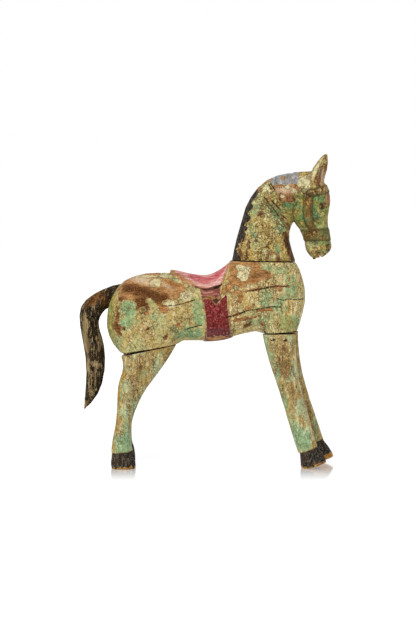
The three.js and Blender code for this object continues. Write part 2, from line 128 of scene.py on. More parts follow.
def backlit_acrylic():
    """White acrylic lit from below: an even white that hides shadows, polished only under the horse."""
    material = bpy.data.materials.new("backlit_acrylic")
    material.use_nodes = True
    tree = material.node_tree
    tree.nodes.remove(tree.nodes["Principled BSDF"])
    flat = add_node(tree, "ShaderNodeBsdfDiffuse", {"Color": linear(TABLE_WHITE)})
    glow = add_node(tree, "ShaderNodeEmission", {"Strength": TABLE_GLOW})
    lit = add_node(tree, "ShaderNodeAddShader", {0: flat, 1: glow})
    mirror = add_node(
        tree, "ShaderNodeBsdfGlossy", {"Color": linear("#ffffff"), "Roughness": TABLE_ROUGHNESS})
    place = add_node(tree, "ShaderNodeTexCoord").outputs["Object"]
    off_centre = add_node(tree, "ShaderNodeVectorMath", {0: place}, operation="ABSOLUTE")
    beyond = add_node(tree, "ShaderNodeVectorMath", {0: off_centre, 1: POLISHED_HALF}, operation="SUBTRACT")
    ways = add_node(tree, "ShaderNodeSeparateXYZ", {0: beyond}).outputs
    furthest = add_node(tree, "ShaderNodeMath", {0: ways["X"], 1: ways["Y"]}, operation="MAXIMUM")
    shine = add_node(
        tree, "ShaderNodeMapRange",
        {"Value": furthest, "From Max": HAZE_REACH, "To Min": TABLE_SHINE, "To Max": 0.0})
    table = add_node(tree, "ShaderNodeMixShader", {0: shine, 1: lit, 2: mirror})
    tree.links.new(table.outputs[0], tree.nodes["Material Output"].inputs["Surface"])
    return material


half_floor = FLOOR_SIZE / 2
floor_corners = [(half_floor * x, half_floor * y, 0) for x, y in ((-1, -1), (1, -1), (1, 1), (-1, 1))]
floor_mesh = bpy.data.meshes.new("studio_floor")
floor_mesh.from_pydata(floor_corners, [], [(0, 1, 2, 3)])
floor_mesh.materials.append(backlit_acrylic())
add_object("studio_floor", floor_mesh)
print("light table", FLOOR_SIZE, "m wide")

# %% Lamps and surround
LAMPS_FROM = (-0.45, -0.7, 0.85)
LAMPS_STRENGTH = 2.0
LAMPS_WIDTH_DEG = 40
SURROUND_LIGHT = 0.6
SURROUND_SEEN = 1.0

lamp_bank = bpy.data.lights.new("lamp_bank", "SUN")
lamp_bank.energy = LAMPS_STRENGTH
lamp_bank.angle = math.radians(LAMPS_WIDTH_DEG)
lamps = add_object("lamp_bank", lamp_bank)
lamps.rotation_euler = Vector(LAMPS_FROM).to_track_quat("Z", "Y").to_euler()

world = bpy.data.worlds.new("light_tent")
world.use_nodes = True
bpy.context.scene.world = world
sky = world.node_tree.nodes["Background"]
sky.inputs["Color"].default_value = (1, 1, 1, 1)
ray = add_node(world.node_tree, "ShaderNodeLightPath").outputs
seen = add_node(
    world.node_tree, "ShaderNodeMath",
    {0: ray["Is Camera Ray"], 1: ray["Is Glossy Ray"]}, operation="MAXIMUM")
level = add_node(
    world.node_tree, "ShaderNodeMapRange",
    {"Value": seen, "To Min": SURROUND_LIGHT, "To Max": SURROUND_SEEN})
world.node_tree.links.new(level.outputs["Result"], sky.inputs["Strength"])
bpy.context.scene.view_settings.view_transform = "Standard"
print("surround lights at", SURROUND_LIGHT)

# %% [markdown]
# ## From facets to carved wood
# The CAD blocks have flat facets, and a carver leaves rounded forms with crisp edges. A voxel remesh gives
# each block an even skin of small faces. Smoothing then removes the facets, but it would also melt the
# straps and the saddle's rim. So the sharp edges of the CAD mesh are found first, as those whose two faces
# meet at a clear angle, and the skin close to them is left nearly alone. The same edges are remembered:
# paint wears off an edge that stands out, and dirt and a painted shade gather in one that folds in.

# %% Sharp edges of a block
SHARP_ANGLE_DEG = 34
MERGE_DISTANCE = 0.01 * MM
EDGE_SAMPLE = 2.5 * MM
FAR_AWAY_MM = 40.0


def merged_copy(mesh):
    """A CAD mesh's loose triangles as one connected surface."""
    block = bmesh.new()
    block.from_mesh(mesh)
    bmesh.ops.remove_doubles(block, verts=block.verts, dist=MERGE_DISTANCE)
    return block


def sharp_edges(mesh):
    """Points in millimetres along a CAD mesh's edges that stand out, and along those that fold in."""
    block = merged_copy(mesh)
    outer, inner = [], []
    for edge in block.edges:
        if len(edge.link_faces) != 2:
            continue
        first, second = edge.link_faces
        if first.normal.angle(second.normal, 0) < math.radians(SHARP_ANGLE_DEG):
            continue
        stands_out = first.normal.dot(second.calc_center_median() - first.calc_center_median()) < 0
        start, end = (corner.co for corner in edge.verts)
        steps = max(1, int((end - start).length / EDGE_SAMPLE))
        points = outer if stands_out else inner
        points += [start.lerp(end, step / steps) / MM for step in range(steps + 1)]
    block.free()
    return outer, inner


def distance_to(points, places):
    """Distance of each place to the nearest of the points, all in millimetres."""
    if not points:
        return np.full(len(places), FAR_AWAY_MM)
    tree = KDTree(len(points))
    for index, point in enumerate(points):
        tree.insert(point, index)
    tree.balance()
    found = np.array([tree.find(place)[2] for place in places])
    return np.minimum(found, FAR_AWAY_MM)


print("edges sharper than", SHARP_ANGLE_DEG, "degrees are kept")

# %% Carved skins
EDGE_HOLD_MM = 9
LEAST_SOFT = 0.06
SOFT_STEPS = 10
BODY_VOXEL_MM = 2.85
FINE_VOXEL_MM = 2.0
BODY_PASSES = 30
HEAD_PASSES = 16
LEG_PASSES = 22
TAIL_PASSES = 14
LEGS = ("hind_leg_right", "hind_leg_left", "front_leg_right", "front_leg_left")


def bake(piece):
    """Replaces a piece's mesh by the result of its modifiers."""
    graph = bpy.context.evaluated_depsgraph_get()
    result = bpy.data.meshes.new_from_object(piece.evaluated_get(graph))
    piece.modifiers.clear()
    piece.data = result


def places_mm(piece):
    """A piece's vertices as rows of x, y, z in millimetres."""
    places = np.empty(len(piece.data.vertices) * 3)
    piece.data.vertices.foreach_get("co", places)
    return places.reshape(-1, 3) / MM


def set_values(piece, name, values):
    """Stores one number for each vertex of a piece under a name that node trees can read."""
    stored = piece.data.attributes
    attribute = stored.get(name) or stored.new(name, "FLOAT", "POINT")
    attribute.data.foreach_set("value", np.asarray(values, dtype=np.float32))


def carved_skin(node, voxel_mm, passes):
    """An even, softened copy of a CAD block that remembers its sharp edges."""
    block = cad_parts[node].data
    piece = add_object("carved_" + node, block.copy())
    piece.data.materials.clear()
    merged = merged_copy(block)
    merged.to_mesh(piece.data)
    merged.free()
    remesh = piece.modifiers.new("even_skin", "REMESH")
    remesh.mode = "VOXEL"
    remesh.voxel_size = voxel_mm * MM
    bake(piece)
    ridge, fold = (distance_to(points, places_mm(piece)) for points in sharp_edges(block))
    soft = np.clip(np.minimum(ridge, fold) / EDGE_HOLD_MM, LEAST_SOFT, 1.0)
    group = piece.vertex_groups.new(name="soft")
    for share in range(1, SOFT_STEPS + 1):
        chosen = np.nonzero(np.ceil(soft * SOFT_STEPS) == share)[0]
        group.add([int(index) for index in chosen], share / SOFT_STEPS, "REPLACE")
    smooth = piece.modifiers.new("soften", "SMOOTH")
    smooth.factor = 0.5
    smooth.iterations = passes
    smooth.vertex_group = "soft"
    bake(piece)
    piece.vertex_groups.clear()
    set_values(piece, "ridge", ridge)
    set_values(piece, "fold", fold)
    return piece


body = carved_skin("body", BODY_VOXEL_MM, BODY_PASSES)
head = carved_skin("neck_and_head", FINE_VOXEL_MM, HEAD_PASSES)
legs = {name: carved_skin(name, FINE_VOXEL_MM, LEG_PASSES) for name in LEGS}
tail = carved_skin("tail", FINE_VOXEL_MM, TAIL_PASSES)
for piece in (body, head, tail, *legs.values()):
    print(piece.name, len(piece.data.vertices), "vertices")

# %% [markdown]
# ## Where the paint has gone
# Wear isn't even: the rump and the withers are rubbed bare, the neck has chips, and cracks follow the glue
# lines between the planks. A noise texture alone would put these anywhere. So the main patches are drawn
# in the side view, in millimetres, as outlines, spots and lines. Each gives a depth in millimetres,
# positive inside, which later noise can roughen without losing the shape. The side that faces the camera
# has all of them, and the other side has fewer.


# %% Helpers for drawn patches
def spot(x, z, half_x, half_z, turn_deg=0):
    """Depth inside a turned ellipse."""
    turn = math.radians(turn_deg)

    def depth(px, pz):
        along = (px - x) * math.cos(turn) + (pz - z) * math.sin(turn)
        across = (pz - z) * math.cos(turn) - (px - x) * math.sin(turn)
        reach = np.hypot(along / half_x, across / half_z)
        return (1 - reach) * min(half_x, half_z)
    return depth


def distance_to_path(px, pz, points):
    """Distance to a run of straight lines."""
    nearest = np.full(len(px), np.inf)
    for (ax, az), (bx, bz) in zip(points, points[1:]):
        length2 = (bx - ax) ** 2 + (bz - az) ** 2
        share = np.clip(((px - ax) * (bx - ax) + (pz - az) * (bz - az)) / length2, 0, 1)
        nearest = np.minimum(nearest, np.hypot(px - ax - share * (bx - ax), pz - az - share * (bz - az)))
    return nearest


def band(half, *points):
    """Depth inside a band of constant width along a path."""
    return lambda px, pz: half - distance_to_path(px, pz, points)


def outline(*points):
    """Depth inside a closed outline."""
    def depth(px, pz):
        inside = np.zeros(len(px), dtype=bool)
        for (ax, az), (bx, bz) in zip(points, points[1:] + points[:1]):
            if az == bz:
                continue
            crosses = (az > pz) != (bz > pz)
            inside ^= crosses & (px < ax + (pz - az) * (bx - ax) / (bz - az))
        away = distance_to_path(px, pz, points + points[:1])
        return np.where(inside, away, -away)
    return depth


def deepest(px, pz, patches):
    """The depth inside the nearest of several patches."""
    depth = np.full(len(px), -FAR_AWAY_MM)
    for patch in patches:
        depth = np.maximum(depth, patch(px, pz))
    return depth


CROSSING_WAVES = 5
WAVE_LENGTHS = (0.7, 1.6)
MIDDLE_WANDER = 10
MIDDLE_WAVE = 60


def wobble(places, size_mm, seed):
    """A slow, smooth unevenness between -1 and 1, from a few crossing waves."""
    generator = np.random.default_rng(seed)
    total = np.zeros(len(places))
    for _ in range(CROSSING_WAVES):
        direction = generator.normal(size=3)
        length = size_mm * generator.uniform(*WAVE_LENGTHS)
        direction *= 2 * math.pi / (length * np.linalg.norm(direction))
        total += np.sin(places @ direction + generator.uniform(0, 2 * math.pi))
    return total / CROSSING_WAVES


def near_side(places):
    """Tells which places lie on the camera's side of an uneven middle line."""
    return places[:, 1] < MIDDLE_WANDER * wobble(places, MIDDLE_WAVE, seed=3)


print("patch test, middle of a 10 mm spot:", spot(0, 0, 10, 10)(np.zeros(1), np.zeros(1))[0], "mm")

# %% [markdown]
# ## The body's patches
# On the rump the paint has gone from a large ragged field, and the wood in it is polished by riders, pale on
# top with a painted sheen, and dark along its lower edge. The withers are bare around one island of old cream
# paint. Under the cream lies a mint coat, which shows in patches, most of all low on the haunch and behind
# the flap.

# %% Patches on the body
RUMP_FIELD = outline(
    (-296, 650), (-240, 690), (-166, 690), (-154, 664), (-117, 650), (-72, 627), (-77, 607), (-80, 593),
    (-133, 591), (-154, 581), (-158, 567), (-124, 557), (-146, 533), (-166, 553), (-181, 581), (-205, 591),
    (-217, 584), (-203, 567), (-198, 550), (-211, 532), (-227, 543), (-211, 553), (-222, 567), (-248, 553),
    (-242, 581), (-257, 581), (-271, 591), (-296, 580), (-309, 593), (-305, 610), (-308, 627))
RUMP_STRIP = outline(
    (-314, 563), (-305, 561), (-302, 533), (-305, 510), (-296, 493), (-296, 465), (-308, 456), (-314, 479),
    (-325, 482), (-322, 510), (-314, 536))
WITHERS_FIELD = outline(
    (69, 706), (86, 735), (173, 735), (182, 697), (194, 684), (214, 690), (215, 663), (187, 654), (180, 645),
    (137, 638), (122, 630), (93, 634), (76, 632), (79, 610), (45, 603), (43, 620), (67, 644), (76, 670))
WITHERS_STREAK = outline(
    (81, 613), (127, 619), (166, 626), (223, 637), (269, 635), (276, 628), (233, 625), (190, 624), (141, 614),
    (108, 607), (84, 606))
WITHERS_ISLAND = outline(
    (98, 704), (141, 704), (147, 687), (141, 661), (129, 655), (98, 660), (96, 673), (101, 690))

BODY_NEAR = {
    "bare": (
        RUMP_FIELD, RUMP_STRIP, WITHERS_FIELD, WITHERS_STREAK,
        spot(-288, 486, 9, 9), spot(-204, 487, 8, 5, 20), spot(-101, 499, 8, 4, 20), spot(-245, 556, 5, 5),
        spot(110, 592, 8, 19), band(4, (64, 528), (108, 536), (127, 549), (160, 570)),
        outline((165, 552), (228, 561), (223, 548), (180, 544)),
        outline((88, 521), (141, 529), (168, 531), (165, 516), (122, 516), (93, 509)),
        outline((117, 487), (137, 504), (156, 514), (146, 494), (122, 484)),
        spot(84, 568, 5, 4), spot(190, 502, 9, 5, -40), spot(250, 620, 5, 5), spot(315, 644, 4, 5),
        band(3, (240, 637), (274, 634)), spot(-145, 460, 5, 14, -25)),
    "kept": (
        WITHERS_ISLAND, spot(-178, 642, 21, 14), spot(-197, 664, 32, 4.5), spot(-150, 668, 18, 8),
        spot(-75, 600, 20, 16), spot(-128, 570, 16, 11)),
    "brown": (
        band(19, (-279, 625), (-240, 616), (-211, 608), (-182, 600), (-150, 590)), spot(-225, 570, 30, 34),
        spot(-300, 585, 18, 14), RUMP_STRIP, spot(184, 672, 22, 8), spot(-145, 460, 9, 18, -25),
        spot(-204, 487, 9, 7), spot(-288, 486, 10, 10), spot(136, 505, 24, 20, 30)),
    # Pale patches are a painted sheen on the top of the rump's wood and of the withers
    "pale": (spot(-222, 653, 60, 18, -14), spot(-150, 638, 44, 9, -30), spot(95, 722, 30, 8)),
    "mint": (
        spot(-268, 548, 30, 38, 15), spot(-280, 503, 24, 20), spot(-308, 445, 14, 22),
        spot(-63, 466, 64, 24, 4), spot(-33, 530, 20, 62, 4), spot(-188, 524, 8, 11),
        spot(-191, 573, 8, 9), spot(-150, 668, 15, 7), spot(230, 691, 52, 14), spot(286, 630, 24, 46, 8),
        spot(200, 591, 26, 36), spot(185, 509, 28, 20), spot(158, 502, 24, 9, 12), spot(240, 560, 26, 30),
        spot(306, 514, 12, 30), spot(88, 621, 8, 10), spot(-100, 640, 26, 6, -25),
        spot(262, 590, 10, 30)),
    "cracks": (
        ((-157, 564), (-117, 566), (-83, 573), (-46, 584)), ((-72, 485), (-40, 493), (-20, 499)),
        ((163, 552), (190, 558), (228, 563), (250, 560)), ((238, 590), (252, 586), (281, 588), (331, 585)),
        ((64, 526), (108, 536), (130, 547), (163, 552)), ((139, 615), (190, 625), (232, 633), (276, 631)),
        ((-204, 488), (-201, 486)), ((-310, 487), (-305, 487)), ((-287, 489), (-284, 485)))}
BODY_FAR = {
    "bare": (
        spot(-190, 640, 105, 52, -8), spot(-110, 560, 24, 15), spot(-290, 520, 10, 38),
        spot(140, 690, 62, 34), spot(230, 628, 60, 7, 5), spot(150, 520, 36, 12, 12),
        spot(-60, 520, 12, 6), spot(290, 560, 9, 16)),
    "kept": (spot(-215, 648, 18, 10), spot(118, 690, 20, 17)),
    "brown": (spot(-210, 600, 70, 26, -8), spot(180, 670, 30, 20), spot(-290, 520, 9, 30)),
    "mint": (
        spot(-255, 520, 36, 40), spot(-80, 470, 70, 22), spot(220, 600, 26, 44), spot(290, 640, 22, 34),
        spot(170, 505, 36, 16)),
    "cracks": (
        ((-330, 560), (-200, 552), (-60, 566)), ((90, 560), (200, 566), (320, 574)),
        ((120, 625), (280, 634)))}
print(len(BODY_NEAR["bare"]), "bare patches near,", len(BODY_FAR["bare"]), "far")

# %% [markdown]
# ## Patches on the neck and head
# The neck has small chips down to brown wood, a bare throat and a rubbed crest behind the ears. The ear's
# hollow and the forehead are worn to the wood, and the eye is a brown smudge in a shallow carved line.

# %% Patches on the neck and head
THROAT_STRAP_ENDS = ((198, 946), (279, 833))
CREST_BARE = outline(
    (231, 984), (268, 978), (310, 982), (316, 952), (296, 944), (296, 931), (313, 928), (284, 917),
    (263, 923), (250, 920), (242, 941), (229, 952), (226, 968))
THROAT_BARE = outline((263, 814), (271, 821), (300, 770), (312, 712), (286, 712), (284, 730), (268, 767))
NECK_STRIP = outline(
    (135, 804), (140, 793), (149, 783), (142, 772), (149, 763), (140, 756), (141, 730), (131, 716),
    (132, 759), (136, 783))
EAR_HOLLOW = outline((398, 1070), (376, 1013), (362, 978), (395, 975), (404, 1000), (406, 1050))
EAR_RIM = band(5, (405, 1070), (410, 1034), (402, 996))
EAR_CREASE = band(2, (400, 1062), (388, 1010), (384, 980))
NECK_NEAR = {
    "bare": (
        CREST_BARE, THROAT_BARE, NECK_STRIP, spot(181, 878, 9, 12, -20), spot(187, 833, 4, 12, 15),
        outline((103, 764), (116, 756), (123, 732), (113, 732), (104, 748)), spot(169, 789, 10, 4, 20),
        spot(217, 745, 15, 6), spot(205, 727, 4, 12), spot(241, 722, 6, 13), spot(212, 818, 5, 4),
        spot(224, 808, 4, 5), spot(210, 801, 5, 4), spot(226, 794, 6, 4), spot(178, 965, 9, 6, 45),
        spot(198, 986, 6, 4, 40), spot(216, 999, 8, 4, 35), spot(260, 1004, 7, 5), spot(340, 1002, 6, 5),
        spot(414, 928, 8, 24, 8), spot(405, 930, 5, 5), spot(372, 732, 12, 4), spot(345, 946, 8, 9), EAR_RIM,
        EAR_HOLLOW, spot(397, 905, 13, 8)),
    "kept": (
        spot(203, 965, 9, 17, 35), spot(255, 938, 9, 8), spot(292, 955, 6, 7), spot(370, 1030, 7, 42, -30),
        spot(334, 986, 20, 24), spot(276, 970, 12, 4, -15), spot(300, 962, 14, 5, -30)),
    "brown": (
        spot(284, 936, 17, 8), spot(276, 922, 20, 5), spot(397, 906, 17, 15), THROAT_BARE, NECK_STRIP,
        spot(241, 722, 8, 14), spot(181, 878, 9, 12), spot(187, 833, 6, 12), spot(345, 948, 13, 14),
        spot(110, 748, 10, 18), spot(296, 868, 12, 22), spot(404, 862, 10, 24),
        spot(217, 808, 22, 16), spot(169, 789, 12, 8), spot(385, 745, 40, 12), EAR_CREASE),
    "mint": (
        spot(180, 914, 9, 26, -15), spot(153, 808, 12, 17), spot(228, 882, 14, 22, 30),
        spot(257, 836, 16, 14), spot(240, 742, 11, 26), spot(194, 967, 8, 16), spot(300, 906, 30, 13),
        spot(329, 880, 7, 34, 12), spot(369, 868, 9, 46, 10), spot(376, 932, 30, 9),
        spot(400, 826, 8, 20), spot(392, 778, 24, 7), spot(404, 750, 11, 8), spot(355, 762, 10, 12),
        spot(156, 872, 7, 30, -12), spot(330, 985, 9, 12), spot(258, 938, 9, 12), spot(272, 906, 18, 14)),
    # Pale on the crest, and in the ear's hollow a painted light against the shade there
    "pale": (spot(268, 962, 42, 15), spot(392, 1012, 13, 48, 6)),
    "cracks": (
        ((262, 816), (266, 790), (271, 764)), ((221, 925), (244, 900)),
        ((194, 936), (220, 905), (245, 872)), ((251, 879), (271, 864)), ((211, 980), (219, 966)),
        ((217, 984), (226, 968)), ((223, 974), (231, 962)), ((388, 914), (392, 911)),
        ((399, 906), (404, 903)), ((410, 905), (412, 901)), ((396, 892), (400, 890)),
        ((342, 946), (352, 940)))}
NECK_FAR = {
    "bare": (
        spot(270, 955, 44, 26), spot(280, 770, 14, 46, 12), spot(180, 860, 9, 18), spot(150, 770, 8, 22),
        spot(220, 760, 18, 6), spot(385, 744, 36, 14), spot(412, 935, 9, 20), spot(230, 840, 7, 9)),
    "brown": (spot(280, 940, 30, 12), spot(280, 770, 12, 40), EAR_HOLLOW),
    "mint": (
        spot(190, 900, 14, 40, -15), spot(220, 770, 20, 30), spot(310, 890, 26, 30), spot(372, 880, 14, 50),
        spot(390, 780, 22, 9)),
    "cracks": (((206, 944), (262, 868)), ((388, 914), (392, 911)), ((399, 906), (404, 903)))}
print(len(NECK_NEAR["bare"]), "bare patches on the neck and head")

# %% [markdown]
# ## Patches on the legs and tail
# The legs are stained rather than flaked, and their mint coat comes through in long streaks that grow
# towards the hooves. The left front leg stands a little ahead, so its pale edge is shifted. The tail's black
# is worn to pale wood along its back and rusty at its root.

# %% Patches on the legs and tail
HIND = {
    "brown": (
        spot(-238, 350, 18, 30), spot(-200, 372, 24, 9, 20), spot(-250, 375, 16, 9), spot(-264, 264, 9, 34),
        spot(-232, 392, 36, 10, 10), spot(-270, 200, 6, 20), spot(-262, 300, 12, 60)),
    "mint": (
        spot(-220, 332, 5, 13, -15), spot(-235, 287, 4, 8), spot(-178, 364, 5, 17, -20),
        band(6, (-230, 258), (-254, 214)), spot(-284, 250, 5, 26, -8), spot(-278, 160, 5, 34),
        spot(-298, 200, 5, 40), spot(-292, 86, 34, 40), spot(-260, 140, 6, 40)),
    "cracks": (((-244, 274), (-242, 273)),)}
HIND_OCHRE = band(9, (-287, 330), (-304, 264), (-312, 203), (-321, 132), (-326, 74))
FRONT_EDGE = ((302, 429), (305, 360), (314, 303), (340, 200), (367, 100))
FRONT = {
    "kept": (band(1.5, *FRONT_EDGE),),
    "brown": (
        spot(264, 346, 30, 40, 20), spot(240, 418, 26, 9), spot(285, 404, 18, 8), spot(290, 270, 16, 46, 16),
        spot(306, 284, 6, 9), spot(322, 250, 6, 60, 15), spot(226, 415, 12, 20, -20)),
    "mint": (
        band(8, (197, 439), (225, 370), (257, 265), (279, 195), (304, 100)), band(4, (298, 430), (297, 344)),
        band(3, (322, 240), (345, 150), (365, 88)), spot(318, 112, 40, 52, 15), spot(345, 110, 10, 40, 22)),
    "cracks": (((215, 446), (219, 445)), ((260, 444), (263, 444)), ((306, 288), (306, 281)))}
LEFT_LEG_AHEAD = 36
# The left front leg has only a pale edge and a little mint: it is painted lighter against the shade it stands
# in
FRONT_FAR = {
    "kept": (band(1.5, *((x + LEFT_LEG_AHEAD, z) for x, z in FRONT_EDGE)),),
    "mint": (band(5, (350, 300), (376, 190), (395, 90)),)}
TAIL = {
    "bare": (
        band(9, (-427, 528), (-427, 470), (-420, 400)), band(5, (-420, 390), (-414, 330), (-412, 262)),
        spot(-389, 355, 18, 11), band(4, (-391, 330), (-398, 250)), spot(-431, 208, 9, 20),
        band(1, (-438, 552), (-408, 590), (-356, 618)), spot(-392, 575, 4, 22, -20), spot(-376, 440, 5, 22),
        spot(-384, 452, 7, 9), band(3, (-404, 300), (-416, 236))),
    "brown": (spot(-398, 588, 46, 26, 35), spot(-362, 580, 16, 30), spot(-431, 208, 9, 20)),
    # The pale marks on the tail are painted highlights
    "pale": (spot(-389, 355, 8, 4), spot(-392, 562, 4, 20, -20))}
print(len(TAIL["bare"]), "bare patches on the tail")

# %% [markdown]
# ## Storing the wear
# Each patch list becomes one number for each vertex of a piece. Node trees read these numbers by name, both
# for the relief and for the colours, so that a chip is a hollow and a brown spot in the same place. The tone
# is one more such number, which turns a paint into its deeper or dirtier shade.

# %% Store the wear on a piece
CRACK_DEPTH = 2.2
CRACK_HALF = 3.0
CRACK_SHAKE = 2.2
CRACK_WAVE = 26
PATCH_KINDS = ("bare", "kept", "brown", "mint", "pale")


def step_up(values, low, high):
    """A smooth step from 0 at low to 1 at high."""
    share = np.clip((values - low) / (high - low), 0, 1)
    return share * share * (3 - 2 * share)


def store_wear(piece, near, far, tone):
    """Stores depths in millimetres, from the patches of the near side and of the far side, and a tone."""
    places = places_mm(piece)
    x, _, z = places.T
    is_near = near_side(places)
    depth = {kind: np.where(is_near, deepest(x, z, near.get(kind, ())), deepest(x, z, far.get(kind, ())))
             for kind in PATCH_KINDS}
    depth["worn"] = np.minimum(depth.pop("bare"), -depth["kept"])
    shaken = z + CRACK_SHAKE * wobble(places, CRACK_WAVE, seed=5)
    crack = np.full(len(x), FAR_AWAY_MM)
    for patches, side in ((near, is_near), (far, ~is_near)):
        for path in patches.get("cracks", ()):
            crack = np.where(side, np.minimum(crack, distance_to_path(x, shaken, path)), crack)
    carve = -CRACK_DEPTH * np.clip(1 - crack / CRACK_HALF, 0, 1)
    for name, values in {**depth, "crack": crack, "tone": tone, "carve": carve}.items():
        set_values(piece, name, values)


print("half a step up:", step_up(np.array([0.5]), 0, 1)[0])

# %% Tones and wear of all pieces
CHEST_OLIVE = spot(272, 505, 60, 42)
CHEST_FADE = (0, 20)
CHEST_TONE = 0.5
RUMP_SHADE_X = (-298, -336)
RUMP_SHADE_TONE = 0.6
OCHRE_FADE = (-2, 6)
OCHRE_TONE = 1.1
HEAD_BEGINS = (6, 40)
POLL_Z = (985, 945)
MUZZLE_Z = (765, 800)
MUZZLE_TONE = 0.3


def head_tone(places):
    """1 on the darker green head, 0 on the neck, the poll and the ears; places in millimetres."""
    x, _, z = places.T
    (top_x, top_z), (foot_x, foot_z) = THROAT_STRAP_ENDS
    run, drop = foot_x - top_x, top_z - foot_z
    past_strap = ((x - top_x) * drop + (z - top_z) * run) / math.hypot(run, drop)
    above_muzzle = MUZZLE_TONE + (1 - MUZZLE_TONE) * step_up(z, *MUZZLE_Z)
    return step_up(past_strap, *HEAD_BEGINS) * step_up(z, *POLL_Z) * above_muzzle


body_places, head_places, tail_places = (places_mm(piece) for piece in (body, head, tail))
x, _, z = body_places.T
# A deeper olive on the chest, and the same olive as a painted shade along the haunch's rear rim
chest_tone = CHEST_TONE * step_up(CHEST_OLIVE(x, z), *CHEST_FADE)
olive_and_rump_shade = np.maximum(chest_tone, RUMP_SHADE_TONE * step_up(x, *RUMP_SHADE_X))
store_wear(body, BODY_NEAR, BODY_FAR, olive_and_rump_shade)
store_wear(head, NECK_NEAR, NECK_FAR, head_tone(head_places))
store_wear(tail, TAIL, TAIL, np.zeros(len(tail_places)))
for name, leg in legs.items():
    x, _, z = places_mm(leg).T
    if "hind" in name:
        store_wear(leg, HIND, HIND, OCHRE_TONE * step_up(HIND_OCHRE(x, z), *OCHRE_FADE))
    else:
        patches = FRONT_FAR if "left" in name else FRONT
        store_wear(leg, patches, patches, np.zeros(len(x)))
print("wear stored on", 3 + len(legs), "pieces")

# %% [markdown]
# ## Relief of the flaking paint
# Old paint comes off in whole flakes, along its own crackle. A Geometry Nodes tree does that for every piece:
# it divides the surface into cells, reads the stored wear at the middle of each cell, roughens it with noise
# and lowers the skin where the paint is gone. It also adds the shallow dents of the carver's gouge, and it
# stores what it decided, so that the material can colour the same flakes.

# %% The flaking tree
FLAKING_INPUTS = (
    ("Flake size", "NodeSocketFloat"), ("Ragged", "NodeSocketFloat"), ("Streak", "NodeSocketVector"),
    ("Chip level", "NodeSocketFloat"), ("Paint thickness", "NodeSocketFloat"),
    ("Gouge depth", "NodeSocketFloat"), ("Material", "NodeSocketMaterial"))
NOISE_SIZE = 15 * MM
CHIP_SIZE = 12 * MM
MINT_SIZE = 17 * MM
GOUGE_SIZE = 38 * MM
WHOLE_FLAKES = 0.55
FLAKE_EDGE = 1.1
CHIP_EDGE = 0.03
MINT_RAGGED = 26.0
MINT_EDGE = 22.0


